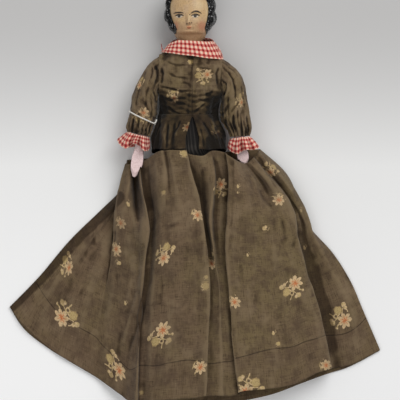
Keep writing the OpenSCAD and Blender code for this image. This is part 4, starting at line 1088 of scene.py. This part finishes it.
# Creases on the front of each sleeve, through spots of the photograph
sleeveCreases = {
    -1: [([(154.6, 65), (157.2, 71), (157.6, 78), (155.4, 85)], 2.0, 1.3),
         ([(151.6, 65), (152.4, 72), (150.6, 80)], 0.9, 1.0),
         ([(146.6, 70), (142, 80), (138.6, 92)], 0.8, 1.2), ([(149, 84), (146, 96), (145.4, 108)], 1.0, 1.6),
         ([(153.5, 91), (156, 97), (156.4, 104)], 1.6, 1.0),
         ([(139, 88), (136.5, 99), (135.5, 108)], 0.7, 1.3),
         ([(151, 100), (152.4, 110), (150.4, 119)], 0.9, 1.2),
         ([(134, 115), (132.5, 124), (133.6, 132)], 1.0, 1.0),
         ([(139, 119), (138, 126), (139, 134)], 1.0, 0.9),
         ([(146, 123.6), (145.6, 129), (146, 136)], 1.2, 0.9),
         ([(150.6, 124), (149.4, 130), (149, 135)], 0.9, 0.8),
         ([(142.6, 121), (142, 128), (142.6, 135)], 0.7, 0.8)],
    1: [([(224, 68.6), (229, 72.6), (233, 79), (235.4, 90), (235.4, 101)], 1.8, 1.3),
        ([(222.8, 80.6), (225.4, 83.6), (225, 90), (222.6, 97)], 1.9, 1.0),
        ([(227, 66), (234, 70.5), (239, 78)], 0.8, 1.0),
        ([(221.8, 98), (221.6, 108), (222.6, 119)], 1.3, 1.2),
        ([(228.6, 94), (227.6, 106), (228.6, 118)], 1.2, 1.6),
        ([(241, 84), (243.6, 96), (245, 108)], 0.7, 1.3), ([(223.5, 121), (227, 128), (230, 135)], 1.3, 1.0),
        ([(233.4, 112), (233.4, 124), (236.4, 136)], 1.2, 1.0),
        ([(241, 114), (241.4, 126), (242.6, 136)], 1.4, 0.9),
        ([(246.6, 114), (247.2, 124), (247.6, 134)], 1.1, 0.9),
        ([(237.6, 106), (237.8, 118), (239.8, 132)], 0.8, 0.9),
        ([(226, 104), (225, 114), (226.4, 124)], 0.8, 0.9)]}


def sleeveSkin(side, turn, t, grow):
    rings = np.array(sleeveRings[side], float)
    row = through(np.linspace(0, 1, len(rings)), rings, t)
    near = 1 - (torso["middle"] * mm - view["level"]) / view["distance"]
    off = (row[..., :4] - view["middlePixel"]) * near
    left, top, level = view["centreX"] / mm, view["centreY"] / mm, torso["middle"] + 0 * t
    inner, outer = (np.stack([left + off[..., k], top - off[..., k + 1], level], -1) for k in (0, 2))
    half = (outer - inner) / 2
    wide = np.linalg.norm(half, axis=-1)
    pull = ((wide + grow) / wide)[..., None]
    up = row[..., 4] / 2 + grow
    cos, sin = np.cos(turn), np.sin(turn)
    bulge = np.sign(sin) * np.abs(sin) ** 0.9
    return (inner + outer) / 2 + half * pull * cos[..., None] + np.stack([0 * t, 0 * t, up * bulge], -1)


# How far down the sleeve its string lies at each turn: higher at the outer edge
def stringLevel(turn):
    return (5.5 - np.cos(turn) / 2) / 8


def sleevePlace(side):
    def place(u, v):
        turn = 2 * math.pi * u - math.pi / 2
        wander = 0.6 * np.sin(3 * turn + side) + 0.5 * np.sin(5 * turn + 2)
        deep = sleeveFacts["wrist"] * ease((v - 0.55) / 0.4) + sleeveFacts["shoulder"] * ease((0.2 - v) / 0.2)
        fold = deep * (np.cos(sleeveFacts["gathers"] * turn + wander + 1.5 * v) - 1) / 2
        tied = np.exp(-((v - stringLevel(turn)) / 0.035) ** 2) if side < 0 else 0 * v
        points = sleeveSkin(side, turn, v, fold * (1 - tied) - 0.5 * tied)
        grain = np.stack([np.cos(turn) * 13, np.sin(turn) * 13, v * 75], -1) * mm
        long = crumple(grain, 7 * mm, 5 + side, (1, 1, 2.6)) * 1.2
        slant = np.stack([grain[..., 0], grain[..., 1], grain[..., 2] + grain[..., 0] * 0.8], -1)
        pressed = np.exp(-((v - 0.58) / 0.16) ** 2) + 0.3
        cross = crumple(slant, 6 * mm, 25 + side, (2.2, 2.2, 0.9)) * pressed
        fine = crumple(slant, 2.6 * mm, 45 + side, (1, 1, 1.6)) * 0.25
        lift = (long + cross + fine) * ease(v / 0.06) * (1 - 0.8 * tied)
        points = points + outwardNormals(points, turn) * lift[..., None]
        points = creased(points * mm, True, sleeveCreases[side], 27 * mm) / mm
        edge = torso["side"] - 0.1
        points[..., 0] = side * np.maximum(side * points[..., 0], np.where(v < 0.3, edge, 0))
        return points * mm
    return place


# White string: most of a turn about the doll's right sleeve, sloping down to the body, and a hooked loose end
string = {"turns": 0.89, "wide": 1.4, "grid": (12, 150), "tied": 0.93}


def stringRoute(u):
    wound = np.minimum(u / string["tied"], 1)
    turn = math.pi + 0.12 + 2 * math.pi * string["turns"] * wound
    lift = string["wide"] * 0.62 + 0.12 * np.sin(u * 40) + 1.0 * ease((u - 0.86) / 0.1)
    points = sleeveSkin(-1, turn, stringLevel(turn), lift)
    loose = np.clip((u - string["tied"]) / (1 - string["tied"]), 0, 1)
    points[..., 0] += 2.6 * np.sin(loose * math.pi / 2)
    points[..., 1] += 3.8 * (1 - np.cos(loose * math.pi / 2))
    return points * mm


def stringPlace(u, v):
    route = stringRoute(v[:, 0])
    along = np.gradient(route, axis=0)
    along /= np.linalg.norm(along, axis=-1, keepdims=True)
    side = np.cross(along, np.array([0.0, 1, 0]))
    side /= np.linalg.norm(side, axis=-1, keepdims=True)
    other = np.cross(along, side)
    turn = (2 * math.pi * u)[..., None]
    around = side[:, None] * np.cos(turn) + other[:, None] * np.sin(turn)
    return route[:, None] + around * (string["wide"] / 2 * mm)


# Depth and limits of the painted shade in the hollows of the upper clothes, as makeSheet takes it
upperHollowShading = (0.5, 1.35, 2)


# Blotches of dirt in the cloth of the sleeves over a darker tone, with painted shade along their inner sides
def sleeveStainAndShade(points):
    x, y = np.moveaxis(points / mm, -1, 0)[:2]
    inner = 0.5 * ease((38 - np.abs(x)) / 6) * ease((104 - y) / 12)
    return 0.4 * crumple(points, 0.012, 61) + 0.34 * crumple(points, 0.005, 67) + inner + 0.3


# Dirt blotches and darker tone of the sleeves in the bodice and peplum, with painted shade about the waist,
# under the arms and over the peplum, and near-black painted shadow at the sides
def upperStainAndShade(points):
    x, y = np.moveaxis(points / mm, -1, 0)[:2]
    waist = 0.12 * np.exp(-((y - 82) / 10) ** 2) * (np.abs(x) < 32)
    armpit = 0.25 * np.exp(-((np.abs(x) - 31) / 4) ** 2 - ((y - 96) / 16) ** 2)
    start = np.interp(y, [44, 50, 57, 61, 71, 75, 80, 98], [17, 18, 21, 23, 24, 17, 13, 13])
    start = start + np.interp(y, [44, 54, 58, 61, 71, 75], [-7, -6, 0, 5, 5, 0]) * (x > 0)
    sides = 1.25 * ease((np.abs(x + 3.5) - start - 1.5) / 11) * ease((108 - y) / 17)
    low = 0.16 * ease((80 - y) / 6)
    return sleeveStainAndShade(points) * 0.9 + waist + armpit + sides + low


# How far the back of the bodice and peplum reaches to each side, and its gap to the sleeves, in millimetres
spreadFacts = {-1: 38.6, 1: 36.6, "gap": 1.5}


# The back of the bodice and its peplum lies spread on the table as far as the sleeves leave room, filling the
# gap between the arms and the body, where its cloth is painted near-black as shadow
def spread(points, y, turn):
    points = points.copy()
    middle = np.interp(y, *torso["lean"])
    behind = ease((0.15 - np.sin(turn)) / 0.5) * ease((108 - y) / 9)
    for side in (-1, 1):
        edge = sleeveSkin(side, np.full(60, math.pi), np.linspace(0, 1, 60), 0)
        room = np.interp(-y, -edge[:, 1], side * edge[:, 0]) - spreadFacts["gap"]
        room = np.minimum(room, spreadFacts[side])
        reach = side * (points[..., 0] - middle)
        whole = reach.max(1, keepdims=True) if reach.ndim > 1 else reach.max()
        grow = np.maximum((room - side * middle) / whole / 0.93, 1)
        points[..., 0] = np.where(reach > 0, middle + side * reach * (1 + behind * (grow - 1)),
                                  points[..., 0])
        over = side * points[..., 0] - room
        points[..., 0] -= side * np.maximum(over, 0) * behind
    return points


bodiceFacts = {"grid": (300, 120), "thickness": 0.7, "waist": 77.5, "top": 145.5, "seam": 1.6,
               "shoulders": ([77, 112, 118.75, 127.8, 136.9, 141, 143.5, 146],
                             [1, 1, 1.02, 1.19, 1.40, 1.32, 1.12, 1.02]),
               "sides": ([76, 82, 92, 104, 112], [1.02, 1.12, 1.15, 1.05, 1]),
               "slope": ([126, 134, 141, 146], [1, 0.84, 0.7, 1])}

# Creases of the bodice, through spots of the photograph
bodiceCreases = [
    ([(160, 86), (171, 89), (181.4, 91.5), (191.6, 91)], 1.3, 1.2),
    ([(204.5, 95), (209, 94), (214, 91)], 1.3, 1.3), ([(168, 73), (176, 77), (187.6, 78.4)], 0.8, 1.3),
    ([(166, 61), (176, 65), (188, 65)], 0.6, 1.3), ([(160, 93), (164, 103), (167, 113)], 1.8, 2.2),
    ([(216, 96), (213.4, 104), (212, 113)], 1.8, 2.2),
    ([(166, 104), (173, 111), (181.4, 115), (191, 116)], 1.2, 1.1),
    ([(206, 103), (200, 108), (194, 112.4)], 1.1, 1.0), ([(198, 113), (205, 117), (213, 119)], 1.0, 1.0),
    ([(167, 98), (176, 103), (187, 104)], 0.8, 1.1), ([(196, 99), (203, 100.5), (210, 99)], 0.7, 1.0),
    ([(161, 66), (162.6, 74), (161, 84)], 1.3, 1.3), ([(219.4, 66), (216.6, 74), (218.4, 86)], 1.3, 1.3),
    ([(170, 116), (180, 118.6), (190, 119)], 0.9, 0.9), ([(182, 82), (188, 84), (191, 87)], 0.5, 1.1),
    ([(197, 70), (205, 68), (212, 70)], 0.5, 1.3)]


def bodicePlace(u, v):
    turn = 2 * math.pi * u - math.pi / 2
    y = bodiceFacts["top"] + (bodiceFacts["waist"] - bodiceFacts["top"]) * v
    x = np.cos(turn) * 28
    waist = np.exp(-((y - 90) / 12) ** 2)
    ripple = 0.3 * waist * np.sin((y + 0.10 * x + 1.2 * np.sin(x * 0.3)) * 2 * math.pi / 5.2)
    ripple += 0.25 * waist * np.sin((y - 0.2 * x) * 2 * math.pi / 8.3 + 1)
    pinch = -0.35 * np.exp(-((x - bodiceFacts["seam"]) / 0.9) ** 2) * (np.sin(turn) > 0)
    points = torsoSkin(y, turn, 1.9 + ripple + pinch)
    middle = np.interp(y, *torso["lean"])
    sides = np.interp(y, *bodiceFacts["sides"]) ** (1 + 0.7 * (np.cos(turn) > 0))
    wider = np.interp(y, *bodiceFacts["shoulders"]) * sides
    points[..., 0] = middle + (points[..., 0] - middle) * wider
    points = spread(points, y, turn)
    flatter = 1 + (np.interp(y, *bodiceFacts["slope"]) - 1) * ease((np.abs(points[..., 0]) - 14) / 12)
    points[..., 2] = torso["middle"] + (points[..., 2] - torso["middle"]) * flatter
    lumps = crumple(points, 13, 17) * 0.8 + crumple(points, 6, 19) * 0.45 + crumple(points, 2.8, 23) * 0.15
    points = points + outwardNormals(points, turn) * (lumps * ease((bodiceFacts["top"] - y) / 3))[..., None]
    points = creased(points * mm, True, bodiceCreases, 27 * mm) / mm
    points[..., 0] = np.clip(points[..., 0], -torso["side"] - 0.3, torso["side"] + 0.3)
    return points * mm


def bodiceSeam(u, v, points):
    off = np.abs(points[..., 0] / mm - bodiceFacts["seam"])
    return np.where(points[..., 2] > 30 * mm, np.clip(off, 0, 40), 40) + stitching["offset"]


# Half width, depth before and depth behind at the peplum's top and edge
peplumFacts = {"grid": (420, 60), "thickness": 0.7, "top": 78.2, "hem": 43.6, "waves": 11,
               "waist": (24.2, 15.9, 15.5), "edge": (36.2, 24.6, 23.2)}
peplumCreases = [
    ([(160, 119), (158, 132), (157, 149)], 2.2, 2.0), ([(168, 122), (167, 136), (166.6, 149)], 1.8, 1.4),
    ([(175, 121), (173.6, 133), (172, 146)], 1.0, 1.2), ([(181, 119.6), (178, 127), (173, 134)], 0.9, 1.0),
    ([(202, 120), (208, 129), (213, 140)], 1.0, 1.2), ([(209, 119), (214, 128), (218, 146)], 1.2, 1.3),
    ([(200, 126), (203, 137), (204, 149)], 0.8, 1.2), ([(220, 122), (222, 134), (223, 146)], 1.4, 1.3)]


def peplumPlace(u, v):
    y = peplumFacts["top"] + (peplumFacts["hem"] - peplumFacts["top"]) * v
    wide, front, back = (start + (end - start) * v ** 0.8
                         for start, end in zip(peplumFacts["waist"], peplumFacts["edge"]))
    gap = 0.3 + 6.6 * np.clip((v - 0.06) / 0.62, 0, 1) ** 0.8
    middle = np.interp(y, *torso["lean"])
    open2 = np.arcsin(np.clip(gap / wide, 0, 1))
    centre = math.pi / 2 - np.arcsin(np.clip((2.2 - middle) / wide, -1, 1))
    turn = centre + open2 + (2 * math.pi - 2 * open2) * u
    wave = -2.6 * v * (1 - np.cos(peplumFacts["waves"] * turn + 0.8 * np.sin(2 * turn))) / 2
    depth = np.where(np.sin(turn) > 0, front, back)
    x = middle + (wide + wave) * np.cos(turn)
    z = torso["middle"] + (depth + wave) * np.sin(turn)
    fall = 3.6 * v ** 2 * ease((0.05 - np.sin(turn)) / 0.4)
    points = np.stack([x, y + 0.5 * np.sin(turn * 5) * v - fall, z], -1)
    points = spread(points, y - fall, turn) * mm
    points = crinkled(points, False, (12 * mm, 0.7, 31), (5 * mm, 0.35, 37))
    return creased(points, False, peplumCreases, 27 * mm)


# Half width, middle and top of the petticoat at heights below the hips
petticoat = {"grid": (396, 110), "thickness": 0.5, "inset": 2, "top": 76, "hem": -199, "pleats": 66,
             "lowest": 2.4, "flat": 0.8, "heights": [-199, -80, -20, 5, 25],
             "wide": [56, 45.6, 40.5, 39.5, 38.5], "middle": [5, 6.5, 8, 9, 13],
             "upper": [31.5, 32.6, 33, 34, 38.5]}


def petticoatPlace(u, v):
    turn = 2 * math.pi * u - math.pi / 2
    y = petticoat["top"] + (petticoat["hem"] - petticoat["top"]) * v
    wide, middle, top = (np.interp(y, petticoat["heights"], petticoat[name]) for name in ("wide", "middle",
                                                                                          "upper"))
    swing = turn + 0.05 * np.sin(7 * turn)
    wave = 1 - np.cos(petticoat["pleats"] * swing + 0.7 * np.sin(y / 23))
    pleat = (0.30 + 0.75 * ease((60 - y) / 120)) * wave / 2
    across, up = (np.sign(way) * np.abs(way) ** petticoat["flat"] for way in (np.cos(turn), np.sin(turn)))
    reach = np.where(up > 0, top - middle, middle - petticoat["lowest"]) - pleat
    low = np.stack([(wide - pleat) * across, y, middle + reach * up], -1)
    high = torsoSkin(np.maximum(y, torso["foot"]), turn, 1.9 - pleat)
    high[..., 1] = y
    share = ease((46 - y) / 22)[..., None]
    points = high * (1 - share) + low * share
    points[..., 2] = np.maximum(points[..., 2], petticoat["lowest"])
    return points * mm


# Lower edge of the back layer in the photograph, from the doll's right corner to its left
backHem = [(9.6, 307), (22.3, 327), (47.8, 348), (68.6, 361), (95.7, 377), (112, 388), (135, 398.5),
           (165, 403.5), (195, 404.5), (225, 403), (250, 399.5), (275, 393.5), (300, 384), (330, 373),
           (345, 368.5), (361, 361), (380.2, 350.2)]


def skirtBack(u, v):
    left, right = foldLine(folds[0], v), foldLine(folds[-1], v)
    low = seenLine([(*p, 1.3) for p in backHem])
    gaps = np.linalg.norm(np.diff(low, axis=0), axis=-1)
    stations = np.concatenate([[0], np.cumsum(gaps)]) / gaps.sum()
    hem = through(stations, low, u)
    share = u[..., None]
    fall = v[..., None] ** 1.5 * (hem - low[0] * (1 - share) - low[-1] * share)
    points = left * (1 - share) + right * share + fall
    points[..., 2] = (1.35 + 0.5 * crumple(points, 24 * mm, 41) + 0.12 * crumple(points, 7 * mm, 43)) * mm
    return points


def paintNodes(materials):
    for name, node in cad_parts.items():
        for part, material in materials.items():
            if name.startswith(part):
                for one in node.material_slots:
                    one.material = material


# A cloth's own area is held within these shares of its cut, and the width of a cut above the least, in metres
cutLimits = {"most": 1.5, "least": 0.75, "width": 0.0102}


# Works out the part of the cut that a cloth piece's weave coordinates cover, held within the limits; the
# result is not kept
def declareCloth(piece):
    mesh = piece.data
    mesh.calc_loop_triangles()
    weave = np.zeros(len(mesh.loops) * 2, np.float32)
    mesh.uv_layers["weave"].data.foreach_get("uv", weave)
    corners = np.zeros(len(mesh.loop_triangles) * 3, np.int32)
    mesh.loop_triangles.foreach_get("loops", corners)
    a, b, c = weave.reshape(-1, 2)[corners].reshape(-1, 3, 2).astype(float).transpose(1, 0, 2)
    area = np.abs(np.cross(b - a, c - a)).sum() / 4
    laid = sum(face.area for face in mesh.polygons) / 2
    area = min(max(area, laid / cutLimits["most"]), laid / cutLimits["least"])


def makeSkirt(material):
    front = makeSheet("skirtFront", *skirt["grid"], skirtFront, material,
                      sprigs=skirtSprigs, stitch=hemSeam, under=(0, 0, -1), stainAndShade=skirtStainAndShade)
    thicken(front, skirt["thickness"])
    parts = hangOverLegs(front)
    for part in parts:
        declareCloth(part)
    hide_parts("skirt_front")
    back = makeSheet("skirtBack", *skirt["backGrid"], skirtBack, material, under=(0, 0, -1))
    thicken(back, skirt["thickness"])
    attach(back, "torso")
    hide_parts("skirt_back")
    declareCloth(back)


def makePetticoat(material):
    whole = makeSheet("petticoatCloth", *petticoat["grid"], petticoatPlace, material, wrap=True)
    thicken(whole, petticoat["thickness"])
    parts = hangOverLegs(whole, petticoat["inset"] * mm)
    for part in parts:
        declareCloth(part)
    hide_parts("petticoat")


# Size, middle and edge of the tenon between the thighs
hipTenon = {"size": (5.6, 24, 21), "middle": (0, 29, 20.5), "edge": 1}


def makeBody(material, black):
    trunk = makeSheet("carvedTorso", 96, 60, carvedTorso, material, wrap=True, caps=True)
    head = makeSheet("carvedHead", 220, 180, carvedHead, material, wrap=True, caps=True)
    nose = makeSheet("carvedNose", 40, 36, carvedNose, material, wrap=True, caps=True)
    bm = bmesh.new()
    bmesh.ops.create_cube(bm, size=1)
    bmesh.ops.scale(bm, vec=Vector(hipTenon["size"]) * mm, verts=bm.verts)
    bmesh.ops.translate(bm, vec=Vector(hipTenon["middle"]) * mm, verts=bm.verts)
    bmesh.ops.bevel(bm, geom=bm.edges[:], offset=hipTenon["edge"] * mm, affect="EDGES", segments=3,
                    profile=0.5, material=-1)
    tenon = finishMesh("hipTenon", bm, material)
    curls = makeSheet("carvedCurls", 432, 240, carvedHair, black, wrap=True, caps=True)
    for piece in (trunk, head, nose, tenon, curls):
        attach(piece, "torso")
    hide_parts("body")
    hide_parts("nose")
    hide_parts("hair")


# Printed sprigs of the upper clothes, placed as those of the skirt
upperSprigs = {"bodice": [(191.1, 61.2, 0, 0.6, "disc"), (203.9, 76.8, 152, 0.76, "all", 0.76),
                          (172.5, 96.5, 60, 0.6, "all", 0.8)],
               "peplum": [(187.5, 126.5, 20, 0.62, "bloom"), (217, 131, 100, 0.75, "all", 0.8)],
               "sleeveRight": [(139.6, 81.6, 60, 0.55, "all", 0.85), (141, 116.5, -144, 0.76, "all", 0.74)],
               "sleeveLeft": [(241.6, 99.5, 60, 0.58, "all", 0.6)]}


def makeBodice(material):
    bodice = makeSheet("bodiceCloth", *bodiceFacts["grid"], bodicePlace, material, wrap=True,
                       stitch=bodiceSeam, sprigs=upperSprigs["bodice"], stainAndShade=upperStainAndShade, hollowShading=upperHollowShading)
    thicken(bodice, bodiceFacts["thickness"])
    peplum = makeSheet("peplumCloth", *peplumFacts["grid"], peplumPlace, material,
                       sprigs=upperSprigs["peplum"], stainAndShade=upperStainAndShade, hollowShading=upperHollowShading)
    thicken(peplum, peplumFacts["thickness"])
    for piece, node, held in ((bodice, "bodice", "stretched"), (peplum, "peplum", "hung")):
        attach(piece, "torso")
        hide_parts(node)
        declareCloth(piece)


def makeSleeves(material, gingham, fibre):
    for side, name in ((-1, "Right"), (1, "Left")):
        low = name.lower()
        sleeve = makeSheet(f"sleeve{name}", *sleeveFacts["grid"], sleevePlace(side), material, wrap=True,
                           sprigs=upperSprigs[f"sleeve{name}"], stainAndShade=sleeveStainAndShade, hollowShading=upperHollowShading)
        thicken(sleeve, sleeveFacts["thickness"])
        bendAtElbow(sleeve)
        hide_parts(f"sleeve_{low}")
        declareCloth(sleeve)
        cuff = makeSheet(f"cuff{name}", *cuffFacts["grid"], cuffPlace(side), gingham, wrap=True)
        thicken(cuff, cuffFacts["thickness"])
        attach(cuff, f"forearm_{low}")
        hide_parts(f"cuff_{low}")
        declareCloth(cuff)
    tie = makeSheet("sleeveString", *string["grid"], stringPlace, fibre, wrap=True, caps=True)
    bendAtElbow(tie)
    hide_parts("sleeve_string")


def bendAtElbow(piece):
    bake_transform(piece)


def makeCollar(gingham):
    collar = makeSheet("collarCloth", *collarFacts["grid"], collarPlace, gingham, stitch=collarSeam)
    thicken(collar, collarFacts["thickness"])
    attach(collar, "torso")
    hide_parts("collar")
    declareCloth(collar)


def collarSeam(u, v, points):
    return stitching["offset"] + np.abs((v - collarFacts["seamShare"]) * collarFacts["length"])


floorTints = {"near": tint(250, 250, 250), "middle": tint(236, 236, 235), "far": tint(190, 189, 188),
              "side": tint(150, 149, 148), "lit": tint(225, 225, 224)}


# The floor is painted with shade where the camera sees it, from pale near the hem to grey beyond the head and
# a little darker to one side, and lights plainly
def makeFloor():
    bm = bmesh.new()
    bmesh.ops.create_grid(bm, x_segments=2, y_segments=2, size=4)
    r = Recipe("paleFloor")
    x, y, _ = r.split(r.objectPlace())
    camera = r.node("ShaderNodeLightPath", {}).outputs["Is Camera Ray"]
    shade = r.node("ShaderNodeValToRGB", {0: r.step(y, -0.2, 0.2)}).outputs[0]
    stops = shade.node.color_ramp.elements
    stops.new(0.6)
    for stop, name in zip(stops, ("near", "middle", "far")):
        stop.color = (*floorTints[name], 1)
    shade = r.mix(r.step(x, -0.02, 0.2, 0, 0.1), shade, floorTints["side"])
    colour = r.mix(camera, floorTints["lit"], shade)
    material = r.finish(Base_Color=colour, Roughness=0.9, Specular_IOR_Level=0.1)
    floor = finishMesh("floor", bm, material)


# Strength of the sky, and place, size and power of each lamp
light = {"sky": 0.42, "lamps": {"window": ((0.9, 1.4, 1.9), 1.7, 38),
                                "ceiling": ((-0.9, -0.6, 2.4), 2.0, 13)}}


def makeLight():
    world = bpy.data.worlds.new("studio")
    world.use_nodes = True
    world.node_tree.nodes["Background"].inputs[0].default_value = (1, 1, 1, 1)
    world.node_tree.nodes["Background"].inputs[1].default_value = light["sky"]
    bpy.context.scene.world = world
    for name, (place, size, power) in light["lamps"].items():
        data = bpy.data.lights.new(name, "AREA")
        data.size, data.energy = size, power
        lamp = bpy.data.objects.new(name, data)
        lamp.location = place
        lamp.rotation_euler = (-Vector(place)).to_track_quat("-Z", "Y").to_euler()
        bpy.context.scene.collection.objects.link(lamp)
    bpy.context.scene.view_settings.view_transform = "Standard"


makeCamera()
makeFloor()
makeLight()
print("stage ready")
calico, gingham, wood = makeBrownCloth(), makeGingham(), makeWood()
hairPaint, black = makeHairPaint(), makeBlackCloth()
paintNodes({"forearm": makeHandPaint(), "upper_arm": wood, "thigh": wood, "shin": wood, "elbow": wood,
            "knee": wood, "hip": wood, "shoulder": wood})
makeBody(makeFacePaint(), hairPaint)
print("carved body ready")
makeBodice(calico)
makeCollar(gingham)
makeSleeves(calico, gingham, makeStringFibre())
print("upper clothes ready")
makePetticoat(black)
makeSkirt(calico)
print("skirt ready")
